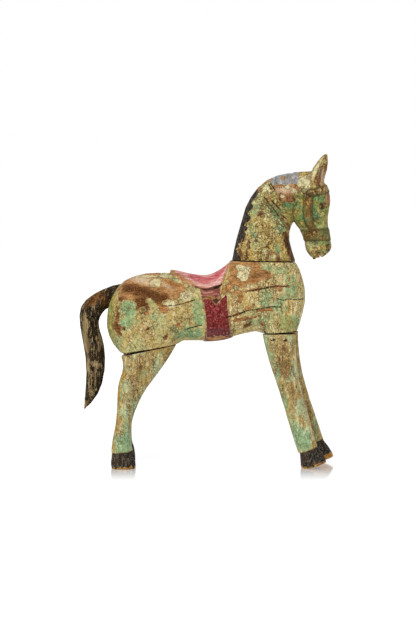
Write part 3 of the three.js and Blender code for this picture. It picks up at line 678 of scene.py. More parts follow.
def flaking_tree():
    """Geometry nodes that break the stored wear into flakes and carve them."""
    tree = bpy.data.node_groups.new("flaking_paint", "GeometryNodeTree")
    tree.interface.new_socket("Geometry", in_out="INPUT", socket_type="NodeSocketGeometry")
    for name, kind in FLAKING_INPUTS:
        tree.interface.new_socket(name, in_out="INPUT", socket_type=kind)
    tree.interface.new_socket("Geometry", in_out="OUTPUT", socket_type="NodeSocketGeometry")
    given = add_node(tree, "NodeGroupInput").outputs
    place = add_node(tree, "GeometryNodeInputPosition")
    normal = add_node(tree, "GeometryNodeInputNormal")
    worn, mint, carve = (
        add_node(tree, "GeometryNodeInputNamedAttribute", {"Name": name}, data_type="FLOAT")
        for name in ("worn", "mint", "carve"))
    streaked = add_node(tree, "ShaderNodeVectorMath", {0: place, 1: given["Streak"]}, operation="MULTIPLY")

    # The wear at a flake's middle counts for most of the flake, and noise makes its border ragged
    flakes_per_metre = add_node(
        tree, "ShaderNodeMath", {0: 1.0, 1: given["Flake size"]}, operation="DIVIDE")
    flake = add_node(tree, "ShaderNodeTexVoronoi", {"Vector": place, "Scale": flakes_per_metre})
    at_flake = add_node(
        tree, "GeometryNodeSampleNearestSurface",
        {"Mesh": given["Geometry"], "Value": worn, "Sample Position": flake.outputs["Position"]},
        data_type="FLOAT")
    blended = add_node(tree, "ShaderNodeMix", {"Factor": WHOLE_FLAKES, "A": worn, "B": at_flake})
    rough = add_node(
        tree, "ShaderNodeTexNoise",
        {"Vector": streaked, "Scale": 1 / NOISE_SIZE, "Detail": 4.0, "Roughness": 0.6})
    centred = add_node(
        tree, "ShaderNodeMapRange", {"Value": rough, "To Min": -2.0, "To Max": 2.0}, clamp=False)
    depth = add_node(
        tree, "ShaderNodeMath", {0: centred, 1: given["Ragged"], 2: blended}, operation="MULTIPLY_ADD")
    gone = add_node(
        tree, "ShaderNodeMapRange",
        {"Value": depth, "From Min": -FLAKE_EDGE, "From Max": FLAKE_EDGE}, interpolation_type="SMOOTHSTEP")

    # Small chips anywhere
    chip_noise = add_node(
        tree, "ShaderNodeTexNoise", {"Vector": streaked, "Scale": 1 / CHIP_SIZE, "Detail": 3.0})
    chip_depth = add_node(
        tree, "ShaderNodeMath", {0: chip_noise, 1: given["Chip level"]}, operation="SUBTRACT")
    chips = add_node(
        tree, "ShaderNodeMapRange",
        {"Value": chip_depth, "From Min": 0.0, "From Max": CHIP_EDGE}, interpolation_type="SMOOTHSTEP")
    bare = add_node(tree, "ShaderNodeMath", {0: gone, 1: chips}, operation="MAXIMUM")

    # Mint undercoat where the topcoat is thin
    mint_noise = add_node(
        tree, "ShaderNodeTexNoise",
        {"Vector": streaked, "W": 3.0, "Scale": 1 / MINT_SIZE, "Detail": 4.0, "Roughness": 0.65},
        noise_dimensions="4D")
    mint_centred = add_node(
        tree, "ShaderNodeMapRange",
        {"Value": mint_noise, "To Min": -2 * MINT_RAGGED, "To Max": 2 * MINT_RAGGED}, clamp=False)
    mint_depth = add_node(tree, "ShaderNodeMath", {0: mint_centred, 1: mint})
    undercoat = add_node(
        tree, "ShaderNodeMapRange",
        {"Value": mint_depth, "From Min": -MINT_EDGE, "From Max": MINT_EDGE},
        interpolation_type="SMOOTHSTEP")

    # Heights of the gouge's dents, of the paint and of the drawn carving, added up
    gouge = add_node(tree, "ShaderNodeTexNoise", {"Vector": place, "Scale": 1 / GOUGE_SIZE, "Detail": 1.5})
    gouge_centred = add_node(
        tree, "ShaderNodeMapRange", {"Value": gouge, "To Min": -1.0, "To Max": 1.0}, clamp=False)
    dents = add_node(
        tree, "ShaderNodeMath", {0: gouge_centred, 1: given["Gouge depth"]}, operation="MULTIPLY")
    lowered = add_node(tree, "ShaderNodeMath", {0: bare, 1: given["Paint thickness"]}, operation="MULTIPLY")
    painted = add_node(tree, "ShaderNodeMath", {0: dents, 1: lowered}, operation="SUBTRACT")
    height = add_node(tree, "ShaderNodeMath", {0: carve, 1: MM, 2: painted}, operation="MULTIPLY_ADD")
    offset = add_node(tree, "ShaderNodeVectorMath", {0: normal, "Scale": height}, operation="SCALE")
    shape = given["Geometry"]
    for name, value in (("bare", bare), ("undercoat", undercoat)):
        shape = add_node(
            tree, "GeometryNodeStoreNamedAttribute",
            {"Geometry": shape, "Name": name, "Value": value}, data_type="FLOAT", domain="POINT")
    shape = add_node(tree, "GeometryNodeSetPosition", {"Geometry": shape, "Offset": offset})
    shape = add_node(tree, "GeometryNodeSetShadeSmooth", {"Geometry": shape})
    shape = add_node(tree, "GeometryNodeRealizeInstances", {"Geometry": shape})
    shape = add_node(tree, "GeometryNodeSetMaterial", {"Geometry": shape, "Material": given["Material"]})
    add_node(tree, "NodeGroupOutput", {"Geometry": shape})
    return tree


FLAKING = flaking_tree()


def flake(piece, **values):
    """Runs the flaking tree on a piece with values given by the names of its inputs, and bakes it."""
    modifier = piece.modifiers.new("flaking", "NODES")
    modifier.node_group = FLAKING
    for socket in FLAKING.interface.items_tree:
        name = socket.name.lower().replace(" ", "_")
        if socket.in_out == "INPUT" and name in values:
            modifier[socket.identifier] = values[name]
    bake(piece)


print("flaking tree with", len(FLAKING.nodes), "nodes")

# %% [markdown]
# ## Painted and weathered wood
# The horse is softwood under a mint undercoat and a cream green topcoat, all hand brushed, dried out and
# crackled. The eye sees cream broken by thin dark lines, mint where the top is rubbed thin, brown wood in
# the chips, dirt and a painted shade in every fold, pale worn edges, and a painted highlight and a painted
# shade along the broken edge of the paint. One function builds these layers for any paint colour, because
# every paint on the horse has aged the same way over the same wood. It first makes noises with sizes in
# millimetres, adds them to the stored wear, turns each sum into a share from 0 to 1, and then lays the
# colours over one another by those shares.

# %% Noises of old paint
STORED = ("bare", "undercoat", "kept", "brown", "pale", "crack", "ridge", "fold", "tone", "sawn")
CRACKLE_WAVE = 8 * MM
NOISE_ROUGHNESS = 0.62

# Real crackle and grit are finer; below about 3.4 mm, one pixel of the render, they wouldn't show
CRACKLE_SIZE = 10.5 * MM
GRIT_MM = 3.4
SCRATCH_MM = 3.6


def paint_noises(tree, place, brushed, grained):
    """Noises from broad to gritty, drawn out along the brush, along the wood's grain, or not at all."""
    # For each noise: what draws it out, its size in millimetres and its detail
    sizes = {"dirt": (place, 75, 5.0), "islands": (place, 30, 4.0), "grit": (place, GRIT_MM, 2.0),
             "clouds": (brushed, 38, 5.0), "patches": (brushed, 13, 4.0), "fine": (brushed, 6, 3.0),
             "rings": (grained, 15, 6.0), "scratches": (grained, SCRATCH_MM, 3.0)}
    noise = {}
    for key, (vector, size, detail) in sizes.items():
        inputs = {"Vector": vector, "Scale": 1 / (size * MM), "Detail": detail, "Roughness": NOISE_ROUGHNESS}
        noise[key] = add_node(tree, "ShaderNodeTexNoise", inputs)
    return noise


def crackle_net(tree, place):
    """Distance to the nearest line of a wavy net, in parts of its mesh."""
    wave = add_node(tree, "ShaderNodeTexNoise", {"Vector": place, "Scale": 1 / CRACKLE_WAVE})
    bent = add_node(
        tree, "ShaderNodeVectorMath",
        {0: wave.outputs["Color"], 1: [CRACKLE_WAVE] * 3, 2: place}, operation="MULTIPLY_ADD")
    return add_node(
        tree, "ShaderNodeTexVoronoi",
        {"Vector": bent, "Scale": 1 / CRACKLE_SIZE}, feature="DISTANCE_TO_EDGE")


print("crackle mesh", round(CRACKLE_SIZE / MM, 1), "mm wide")

# %% Shares of the layers
# How much each kind of wear covers at most, unless a paint says otherwise
USUAL_COVER = {"crackle": 0.65, "stain": 0.75, "wash": 0.3, "tinge": 0.45, "scratched": 0.55, "light": 1.0,
               "glints": 0.45}


def paint_shares(tree, place, noise, cover):
    """Shares from 0 to 1 by which the layers of paint, wood and dirt show, by name."""
    stored = {key: add_node(tree, "ShaderNodeAttribute", attribute_name=key).outputs["Fac"]
              for key in STORED}
    clusters = add_node(
        tree, "ShaderNodeMath", {0: noise["clouds"], 1: 0.6, 2: noise["fine"]}, operation="MULTIPLY_ADD")
    off_middle = add_node(tree, "ShaderNodeMath", {0: noise["islands"], 1: 0.5}, operation="SUBTRACT")
    outline_away = add_node(tree, "ShaderNodeMath", {0: off_middle}, operation="ABSOLUTE")

    # Sums of a stored number and a noise, which breaks the number's smooth border into flecks
    sums = {}
    for key, wave, amount in (
            ("tone", "patches", 0.8), ("undercoat", "fine", 0.9), ("bare", "fine", 0.5),
            ("brown", "rings", 40.0), ("pale", "rings", 24.0), ("kept", "patches", 12.0),
            ("ridge", "patches", 9.0), ("fold", "fine", 4.0), ("crack", "fine", 9.0)):
        inputs = {0: noise[wave], 1: amount, 2: stored[key]}
        sums[key] = add_node(tree, "ShaderNodeMath", inputs, operation="MULTIPLY_ADD")

    # Each share: what it follows, where it begins, where it is full, and how much it covers
    limits = {
        "deep": (sums["tone"], 0.62, 1.0, 1.0),
        "main": (noise["clouds"], 0.34, 0.54, 1.0),
        "light": (noise["patches"], 0.48, 0.66, cover["light"]),
        "wash": (noise["dirt"], 0.5, 0.68, cover["wash"]),
        "tinge": (noise["dirt"], 0.52, 0.38, cover["tinge"]),
        "isle": (sums["kept"], -1.0, 10.0, 0.72),
        "scratches": (noise["scratches"], 0.52, 0.64, cover["scratched"]),
        "specks": (clusters, 0.87, 0.93, cover["stain"]),
        "pits": (noise["grit"], 0.54, 0.64, 0.8 * cover["stain"]),
        "glints": (noise["grit"], 0.44, 0.35, cover["glints"]),
        "under": (sums["undercoat"], 0.74, 1.36, 0.8),
        "soaked": (sums["brown"], 14.0, 38.0, 0.6),
        "net": (crackle_net(tree, place), 0.14, 0.02, cover["crackle"]),
        "some": (noise["clouds"], 0.42, 0.6, 1.0),
        "lines": (outline_away, 0.022, 0.006, 0.7 * cover["crackle"]),
        # A painted highlight on the paint just outside each flake, and a painted shade line just inside it
        "lit_lip": (sums["bare"], 0.42, 0.6, 0.5),
        "bare": (sums["bare"], 0.62, 0.8, 1.0),
        "broken": (sums["bare"], 1.05, 0.75, 0.8),
        "rings": (noise["rings"], 0.4, 0.64, 1.0),
        "greasy": (sums["brown"], 8.0, 34.0, 1.0),
        "pale": (sums["pale"], 8.0, 26.0, 0.72),
        "edge": (sums["ridge"], 7.5, 4.5, 0.8),
        # Folds darken with dirt and a painted shade
        "fold": (sums["fold"], 6.5, 2.0, 0.8),
        "crack": (sums["crack"], 7.6, 5.2, 0.95)}
    share = {}
    for key, (value, begin, full, most) in limits.items():
        inputs = {"Value": value, "From Min": begin, "From Max": full, "To Max": most}
        share[key] = add_node(tree, "ShaderNodeMapRange", inputs, interpolation_type="SMOOTHSTEP")
    # The rim is a painted shade line just inside each flake's broken edge
    share["net"], share["rim"] = (
        add_node(tree, "ShaderNodeMath", {0: share[one], 1: share[other]}, operation="MULTIPLY")
        for one, other in (("net", "some"), ("broken", "bare")))
    # The painted shade of the open seams, as stored
    share["sawn"] = stored["sawn"]
    return share


print("covers:", ", ".join(USUAL_COVER))

# %% Layers of old paint
STAIN = "#5a330c"
# Dirt in scratches and cracks, and painted shade in folds, open seams, flake rims and under the seat's front
DIRT_AND_SHADE = "#23180b"
WASH = "#8a6e2e"
CRACKLE_LINE = "#55330f"
# Pale cream for islands of old paint, and for the painted highlight on the paint's broken edge
LIFTED_PAINT_AND_HIGHLIGHT = "#d8cda2"
# Pale wood, which also paints the sheen of polished wood and other painted highlights
PALE_WOOD_AND_SHEEN = "#e0ccac"
WOOD_ROUGHNESS = 0.45
BUMP_STRENGTH = 0.85
BUMP_DEPTH = 5 * MM
ALONG_X = (0.3, 1, 1)
ALONG_Z = (1, 1, 0.1)


def painted_wood(name, coat, under, wood, deep=None, streak=(1, 1, 0.5), grain=ALONG_Z, edge="#a5834f",
                 roughness=0.62, shine=0.08, deep_under=None, **cover):
    """Old brushed paint over an undercoat on softwood; each group of hex tones runs from dark to light."""
    material = bpy.data.materials.new(name)
    material.use_nodes = True
    tree = material.node_tree
    shader = tree.nodes["Principled BSDF"]
    place = add_node(tree, "ShaderNodeTexCoord").outputs["Object"]
    brushed, grained = (
        add_node(tree, "ShaderNodeVectorMath", {0: place, 1: stretch}, operation="MULTIPLY")
        for stretch in (streak, grain))
    noise = paint_noises(tree, place, brushed, grained)
    share = paint_shares(tree, place, noise, {**USUAL_COVER, **cover})

    def lay_over(below, layers):
        """Lays colours, given as hex or as sockets, over a first one by the named shares."""
        for key, tone in layers:
            above = linear(tone) if isinstance(tone, str) else tone
            below = add_node(
                tree, "ShaderNodeMix", {0: share[key], 6: below, 7: above}, data_type="RGBA").outputs[2]
        return below

    tones = [lay_over(linear(plain), [("deep", strong)]) for plain, strong in zip(coat, deep or coat)]
    under_tone = lay_over(linear(under[0]), [("light", under[1]), ("deep", deep_under or under[0])])
    timber = lay_over(linear(wood[0]), [
        ("rings", wood[1]), ("pale", PALE_WOOD_AND_SHEEN), ("greasy", wood[2]), ("glints", wood[0]),
        ("scratches", DIRT_AND_SHADE), ("pits", wood[2])])
    # Painted shade darkens folds, seams and flake rims; a painted highlight lightens each flake's lip
    colour = lay_over(tones[0], [
        ("main", tones[1]), ("light", tones[2]), ("tinge", under[1]), ("wash", WASH), ("soaked", STAIN),
        ("glints", tones[2]), ("specks", STAIN), ("pits", STAIN), ("under", under_tone),
        ("isle", LIFTED_PAINT_AND_HIGHLIGHT), ("net", CRACKLE_LINE), ("lines", CRACKLE_LINE), ("lit_lip", LIFTED_PAINT_AND_HIGHLIGHT),
        ("bare", timber), ("rim", DIRT_AND_SHADE), ("edge", edge), ("fold", DIRT_AND_SHADE), ("crack", DIRT_AND_SHADE), ("sawn", DIRT_AND_SHADE)])
    tree.links.new(colour, shader.inputs["Base Color"])

    # Dry paint is dull and uneven, rubbed wood has a low shine and fine grain
    dullness = add_node(
        tree, "ShaderNodeMapRange", {"Value": share["bare"], "To Min": roughness, "To Max": WOOD_ROUGHNESS})
    tree.links.new(dullness.outputs[0], shader.inputs["Roughness"])
    shader.inputs["Specular IOR Level"].default_value = shine
    height = noise["clouds"]
    for level, amount in ((noise["patches"], 0.45), (noise["fine"], 0.4), (noise["grit"], 0.25),
                          (share["net"], -0.5), (share["lines"], -0.6), (share["bare"], -0.5)):
        height = add_node(
            tree, "ShaderNodeMath", {0: level, 1: amount, 2: height}, operation="MULTIPLY_ADD")
    bump = add_node(
        tree, "ShaderNodeBump", {"Strength": BUMP_STRENGTH, "Distance": BUMP_DEPTH, "Height": height})
    tree.links.new(bump.outputs["Normal"], shader.inputs["Normal"])
    return material


print("pale wood in linear red:", round(linear(PALE_WOOD_AND_SHEEN)[0], 2))

# %% Cream paints
SOFTWOOD = ("#bd8d58", "#96632f", "#57300e")
CHIPPED_WOOD = ("#b6875a", "#7c4c22", "#42230a")
CREAM = ("#ad9250", "#c1aa6a", "#d0be8c")
SHOULDER_CREAM = ("#b0924a", "#d3bb7b", "#eaddb2")
NECK_CREAM = ("#a5853a", "#bfa862", "#d8ca92")
LEG_CREAM = ("#987a3c", "#b39a60", "#d5c697")
MINT = ("#739d70", "#a5bb86")
PALE_MINT = ("#86a676", "#a9b57c")
NECK_MINT = ("#6f9a70", "#a9ba88")
LEG_MINT = ("#7ba47b", "#aec39a")
HEAD_GREEN = ("#587d43", "#938f4b", "#c6b166")
OCHRE = ("#94702f", "#b58e44", "#caa962")

# Brushed oil paint on planks: a calm cream with mint clouds, a fine net of dark lines and few specks
cream_body = painted_wood(
    "cream_green_paint_on_planks", CREAM, MINT, SOFTWOOD, HEAD_GREEN, (1, 1, 0.6), ALONG_X,
    crackle=0.6, stain=0.55)

# The same paint on the shoulder, brushed up and down: pale upright streaks with dirt between them
cream_shoulder = painted_wood(
    "cream_green_paint_on_shoulder", SHOULDER_CREAM, PALE_MINT, SOFTWOOD, HEAD_GREEN, (1.5, 1.5, 0.22),
    ALONG_X, stain=0.85)

# The same paint on the neck, where it lies thickest: strong crackle, red brown chips and a green face
cream_neck = painted_wood(
    "cream_green_paint_on_neck", NECK_CREAM, NECK_MINT, CHIPPED_WOOD, HEAD_GREEN, (1, 1, 0.6), ALONG_Z,
    crackle=0.8, stain=0.7, wash=0.3, deep_under="#4a8058")

# The same paint on the legs, thin and handled: short upright streaks of mint and ochre, stained brown
cream_leg = painted_wood(
    "cream_green_paint_on_legs", LEG_CREAM, LEG_MINT, SOFTWOOD, OCHRE, (1.4, 1.4, 0.45), ALONG_Z,
    crackle=0.55, stain=0.7, wash=0.35, tinge=0.6)
print("cream paints:", cream_body.name, cream_shoulder.name, cream_neck.name, cream_leg.name)

# %% Paints of the saddle
PINK = ("#a9605a", "#d2968d", "#e6bcb2")
RED_STRIPE = ("#a03a47", "#bf5a63", "#d78787")
ROSE = ("#52201f", "#84433e", "#bb7f72")
SHADED_ROSE = ("#2f1011", "#471c1c", "#5c2a28")
CRIMSON = ("#35080f", "#6b141e", "#b25350")
FADED_CRIMSON = ("#45161f", "#652932", "#975a5c")

# Pink paint that riders have polished: smooth and pale with long rubbed streaks and a red stripe
pink_seat = painted_wood(
    "rubbed_pink_paint", PINK, ("#b08064", "#c79c80"), SOFTWOOD, RED_STRIPE, (0.3, 1.2, 1.2), ALONG_X,
    "#b78c6a", 0.5, crackle=0.2, stain=0.2, wash=0.15, tinge=0.15, glints=0.15)

# Rose paint under the seat: dull and dirty, with a painted shade that is darkest along the seat's edge
rose_panel = painted_wood(
    "rose_paint", ROSE, ("#8c4c46", "#a7675c"), SOFTWOOD, SHADED_ROSE, (0.3, 1.2, 1.2), ALONG_X,
    "#a98256", 0.6, crackle=0.3, stain=0.3, wash=0.2, glints=0.2)

# Crimson paint, thick and grainy: deep red broken by pink flecks, faded at the foot, with a pale edge
crimson_flap = painted_wood(
    "crimson_paint", CRIMSON, ("#4d1517", "#6a1d20"), SOFTWOOD, FADED_CRIMSON, (2.3, 2.3, 1.9), ALONG_Z,
    "#c7a888", 0.55, crackle=0.3, stain=0.5, wash=0.0)
print("saddle paints:", pink_seat.name, rose_panel.name, crimson_flap.name)

# %% Dark paints
BLACK = ("#0c0c0c", "#1b1a19", "#8b8579")
TAIL_BLACK = ("#0b0906", "#14110c", "#86755a")
GREY = ("#55544f", "#93928f", "#b1b0ae")
STRAP_BROWN = ("#452c11", "#80622f", "#b0925a")
PALE_STRAP = ("#93763f", "#b99c63", "#d5c08f")
HOOF_WOOD = ("#b5853f", "#97682f", "#6d4820")
TAIL_WOOD = ("#9f8a60", "#66523a", "#7d4e22")

# Black paint on mane and hooves: dull black with short grey flecks, and yellow wood where it is chipped
black_paint = painted_wood(
    "worn_black_paint", BLACK, ("#24221f", "#383530"), HOOF_WOOD, None, (2.0, 2.0, 0.8), ALONG_Z,
    "#6f5c3d", 0.6, crackle=0.1, stain=0.25, wash=0.1, shine=0.02, light=0.3, glints=0.5)

# Black paint worn grey on the crest: a cool, chalky grey with a soft grain
grey_crest = painted_wood(
    "rubbed_grey_paint", GREY, ("#35322d", "#75716a"), SOFTWOOD, None, (1, 1, 0.4), ALONG_Z,
    "#a19b8f", 0.55, crackle=0.3, stain=0.2, wash=0.1)

# Brown paint on the bridle, rubbed through at the throat: tan with dark specks over green
brown_strap = painted_wood(
    "rubbed_strap_paint", STRAP_BROWN, ("#4f7446", "#748d5c"), SOFTWOOD, PALE_STRAP, (1, 1, 0.5), ALONG_Z,
    "#b09457", 0.6, stain=0.9)

# Black paint on the tail: long dark strands with pale, scratched wood between them
black_tail = painted_wood(
    "black_paint_on_tail", TAIL_BLACK, ("#211c14", "#2e281e"), TAIL_WOOD, None, (2.2, 2.2, 0.2), ALONG_Z,
    "#6d5738", 0.55, crackle=0.1, stain=0.3, wash=0.0, shine=0.02, scratched=0.85, light=0.2, glints=0.3)
print("dark paints:", black_paint.name, grey_crest.name, brown_strap.name, black_tail.name)

# %% [markdown]
# ## Sawn seams
# The blocks were sawn flat where they meet, and the glue has let go. The cuts are painted dark, a painted
# shade for the inside of the open seams. A vertex belongs to a cut if it lies at the seam's height and its
# surface is level. The neck's cut is packed out towards the chest, where the seam is nearly closed.

# %% Dark seams
HIND_SEAM_Z = (390, 432)
FRONT_SEAM_Z = (455, 478)
FRONT_SEAM_X = 190
NECK_SEAM_Z = (700, 726)
WITHERS_Z = (706, 722)
LEG_CUT_Z = (380, 480)
LEVEL_FACING = (0.8, 0.92)
LIT_CUT_X = -264
LIT_CUT_FADE = 8
UNDER_NECK_FADE = (10, 6)
NECK_SEAM_FILL = 3.8
NECK_SEAM_X = (60, 322)


def get_values(piece, name):
    """The stored numbers of a piece's vertices."""
    values = np.empty(len(piece.data.vertices), dtype=np.float32)
    piece.data.attributes[name].data.foreach_get("value", values)
    return values


def set_where(piece, name, chosen, values):
    """Changes the stored numbers of the chosen vertices of a piece."""
    set_values(piece, name, np.where(chosen, values, get_values(piece, name)))


def level_cut(piece, heights, up):
    """1 on level faces between two heights that look up (or down)."""
    z = places_mm(piece)[:, 2]
    normals = np.empty(len(z) * 3)
    piece.data.vertex_normals.foreach_get("vector", normals)
    facing = normals[2::3] * (1 if up else -1)
    return step_up(facing, *LEVEL_FACING) * (z > heights[0]) * (z < heights[1])


# The top of the withers is painted dark as shade only close to the neck that stands on it
neck_cut = level_cut(head, NECK_SEAM_Z, False)
under_neck = distance_to([Vector(place) for place in head_places[neck_cut > 0.5]], body_places)
body_sawn = level_cut(body, HIND_SEAM_Z, False)
body_sawn += level_cut(body, FRONT_SEAM_Z, False) * (body_places[:, 0] > FRONT_SEAM_X)
body_sawn += level_cut(body, WITHERS_Z, True) * step_up(under_neck, *UNDER_NECK_FADE)
set_values(body, "sawn", np.clip(body_sawn, 0, 1))
set_values(head, "sawn", neck_cut)
set_values(tail, "sawn", np.zeros(len(tail_places)))

# The neck's seam closes towards the chest. The rear corner of the hind legs' cut is painted pale bare wood
# without the seam's shade, a painted light in the open end of the seam
neck_fill = NECK_SEAM_FILL * neck_cut * np.interp(head_places[:, 0], NECK_SEAM_X, (0, 1))
set_values(head, "carve", get_values(head, "carve") + neck_fill)
for leg in legs.values():
    x = places_mm(leg)[:, 0]
    cut = level_cut(leg, LEG_CUT_Z, True)
    set_values(leg, "sawn", cut * step_up(x, LIT_CUT_X - LIT_CUT_FADE, LIT_CUT_X + LIT_CUT_FADE))
    for key in ("worn", "pale"):
        set_where(leg, key, (cut > 0.5) & (x < LIT_CUT_X), FAR_AWAY_MM)
print("vertices in the neck's cut:", int((neck_cut > 0.5).sum()))

# %% [markdown]
# ## Hoof rims and tail locks
# Small carving that the frame leaves out goes in as heights: the broken lower rim of each hoof and the
# grooves between the locks of the tail. The grooves run around the tail's middle line and wander a little,
# so that the locks look cut by hand. The front hooves rest on their heels, so their rims follow the sole up.

# %% Hoof rims and tail locks
TOE_RISE = 0.32
HEEL_X = 349
SOLE_KEPT = 0.4
RIM_CHIP_HEIGHTS = (9, 3)
RIM_CHIP_DEPTH = 3.2
RIM_TOOTH = 11.0
TOOTH_STRETCH = (1, 1, 0.2)
TOOTH_EDGE = (0.05, 0.4)
BARE_RIM = (5, 9)
RIM_BARE_DEPTH = 88
HOOF_TOP = 58
HOOF_FLECKS = -3.0
TAIL_LOCKS = 9
TAIL_LOCK_DEPTH = 1.1
LOCK_WANDER = 1.5
LOCK_WAVE = 30
LOCK_STRETCH = (1, 1, 0.3)
TAIL_LINE = ((-316, 590), (-372, 575), (-410, 528), (-411, 476), (-396, 427), (-390, 377), (-391, 320),
             (-400, 269), (-413, 229), (-430, 196))

for name, leg in legs.items():
    places = places_mm(leg)
    x, _, z = places.T
    above_sole = z - TOE_RISE * np.clip(x - HEEL_X, 0, None) if "front" in name else z
    teeth = wobble(places * TOOTH_STRETCH, RIM_TOOTH, seed=11)
    rim = step_up(above_sole, *RIM_CHIP_HEIGHTS) * step_up(teeth, *TOOTH_EDGE) * (above_sole > SOLE_KEPT)
    set_values(leg, "carve", get_values(leg, "carve") - RIM_CHIP_DEPTH * rim)
    chipped = np.where(z < HOOF_TOP, HOOF_FLECKS, -FAR_AWAY_MM)
    chipped = np.where(above_sole < BARE_RIM[0] + BARE_RIM[1] * teeth, RIM_BARE_DEPTH, chipped)
    set_values(leg, "worn", np.maximum(get_values(leg, "worn"), chipped))

x, y, z = tail_places.T
line_x = np.interp(-z, [-line_z for _, line_z in TAIL_LINE], [line_x for line_x, _ in TAIL_LINE])
wander = LOCK_WANDER * wobble(tail_places * LOCK_STRETCH, LOCK_WAVE, seed=4)
twist = TAIL_LOCKS * np.arctan2(y, x - line_x) + wander
groove = TAIL_LOCK_DEPTH * (0.5 + 0.5 * np.sin(twist)) ** 2
set_values(tail, "carve", get_values(tail, "carve") - groove)
print("hoof rims broken on", len(legs), "legs,", TAIL_LOCKS, "locks around the tail")

# %% [markdown]
# ## Painting by area
# Most of the horse is cream, and the saddle, flaps, mane, straps and hooves have paints of their own. Each
# area follows the carving, so it is found from the same sizes that shaped the frame. Every face then gets the
# paint of the area that its corners lie in. The tone turns a paint deeper: it draws the red stripe along the
# seat's side, a painted shade of maroon under its edge and the dark foot of the flap.


# %% A paint for an area
def paint_faces(piece, paint, depth):
    """Gives a paint to the faces whose corners lie at a positive mean depth."""
    mesh = piece.data
    mesh.materials.append(paint)
    corners = np.empty(len(mesh.loops), dtype=np.int32)
    mesh.loops.foreach_get("vertex_index", corners)
    starts, slots = (np.empty(len(mesh.polygons), dtype=np.int32) for _ in range(2))
    mesh.polygons.foreach_get("loop_start", starts)
    mesh.polygons.foreach_get("material_index", slots)
    inside = np.add.reduceat(np.asarray(depth)[corners], starts) > 0
    slots[inside] = len(mesh.materials) - 1
    mesh.polygons.foreach_set("material_index", slots)
    print(paint.name, "on", int(inside.sum()), "faces of", piece.name)


print("paints wait for", len(body.data.polygons), "faces of the body")

# %% Areas of the saddle
SEAT = ((-131, 683, 26), (-121, 676, 44), (-96, 661, 60), (-44, 635, 75), (-3, 626, 78), (32, 637, 75),
        (57, 661, 62), (71, 685, 42), (76, 700, 22))
SEAT_X, SEAT_EDGE, SEAT_HALF = (np.array(column) for column in zip(*SEAT))
SEAT_FRONT = (28, 95)
SEAT_SWELL = 12
SEAT_THICKNESS = 9
SEAT_MARGIN = 1
SEAT_REAR_MARGIN = 2
SEAT_REAR_RIM = band(6, (-131, 686), (-121, 675), (-96, 660), (-50, 636))
SEAT_REAR_END = spot(-130, 688, 22, 12)
SEAT_FRONT_RIM = band(5, (77, 712), (67, 680), (53, 648), (42, 638))
SEAT_RIM_START = -45
SEAT_RIM_DROP = 1
ROSE_PANEL = outline((-30, 632), (-19, 588), (9, 589), (28, 566), (48, 589), (44, 604), (40, 634))
FLAP = outline(
    (-19, 588), (9, 589), (28, 566), (65, 607), (68, 560), (72, 530), (76, 500), (80, 460), (88, 420),
    (-14, 420), (-8, 466), (-5, 495), (-6, 526), (-11, 559))
FLAP_FOOT = 478
FLAP_HEM = 456
GIRTH_X = (-9, 82)
BELLY_Z = 470
FLAP_OFF_MIDDLE = 5
PANEL_OFF_MIDDLE = 55
PANEL_WEAR = band(4, (-17, 593), (12, 595), (36, 594))


def seat_edge(x):
    """Height of the seat's edge along the back, and how far the paint of its front swells past it."""
    along = np.clip((x - SEAT_FRONT[0]) / (SEAT_FRONT[1] - SEAT_FRONT[0]), 0, 1)
    return np.interp(x, SEAT_X, SEAT_EDGE), SEAT_SWELL * np.sin(math.pi * along)


def seat_depth(places):
    """Depth inside the seat's leaf, from its half width and its edge's height; places in millimetres."""
    x, y, z = places.T
    edge, swell = seat_edge(x)
    sideways = np.interp(x, SEAT_X, SEAT_HALF) + SEAT_MARGIN + swell - np.abs(y)
    upwards = z - (edge - SEAT_THICKNESS - swell)
    from_rear = x - SEAT_X[0] + SEAT_REAR_MARGIN
    return np.minimum.reduce([sideways, upwards, from_rear, SEAT_X[-1] + SEAT_MARGIN - x])


seat_area = seat_depth(body_places)
x, y, z = body_places.T
off_middle = np.abs(y)
belly_girth = np.minimum.reduce([x - GIRTH_X[0], GIRTH_X[1] - x, BELLY_Z - z])
flap_area = np.maximum(np.minimum(FLAP(x, z), off_middle - FLAP_OFF_MIDDLE), belly_girth)
edge, swell = seat_edge(x)
# The side of the seat's rim below its edge takes the rose paint and its painted shade
seat_rim = np.minimum.reduce([edge - swell - SEAT_RIM_DROP - z, seat_area, x - SEAT_RIM_START])
panel_area = np.maximum(np.minimum(ROSE_PANEL(x, z), off_middle - PANEL_OFF_MIDDLE), seat_rim)
seat_area = np.where(seat_rim > 0, -1.0, seat_area)
saddled = np.maximum.reduce([flap_area, panel_area, seat_area]) > 0
print("saddle covers", int(saddled.sum()), "vertices")

# %% Tone and wear of the saddle
FLAP_FADES = (FLAP_FOOT + 22, FLAP_FOOT - 6)
SEAT_SHADE = (16, 9)
PANEL_FOOT = (593, 585)
PANEL_TONE = 1.1
STRIPE_TONE = 0.68
STRIPE_BEGINS = (8, 15)
STRIPE_ENDS = (36, 30)
STRIPE_REAR_X = (-100, -40)
STRIPE_OFF_MIDDLE = (5, 25)
SHADOW_X = (SEAT_FRONT[0] - 10, SEAT_X[-1])
FLAP_SIDE = 40
HEM_SLOPE = 0.4
HEM_RAGGED = 7
HEM_WAVE = 12
EDGE_LINE_LEVEL = -4
EDGE_LINE_SLOPE = 2.6
EDGE_LINE_RAGGED = 9
EDGE_LINE_WAVE = 14

# The stripe runs along the seat's edge and fades out towards the rear and the top
from_edge = distance_to_path(x, z, list(zip(SEAT_X, SEAT_EDGE)))
stripe = step_up(from_edge, *STRIPE_BEGINS) * step_up(x, *STRIPE_REAR_X)
stripe *= step_up(from_edge, *STRIPE_ENDS) * step_up(off_middle, *STRIPE_OFF_MIDDLE)
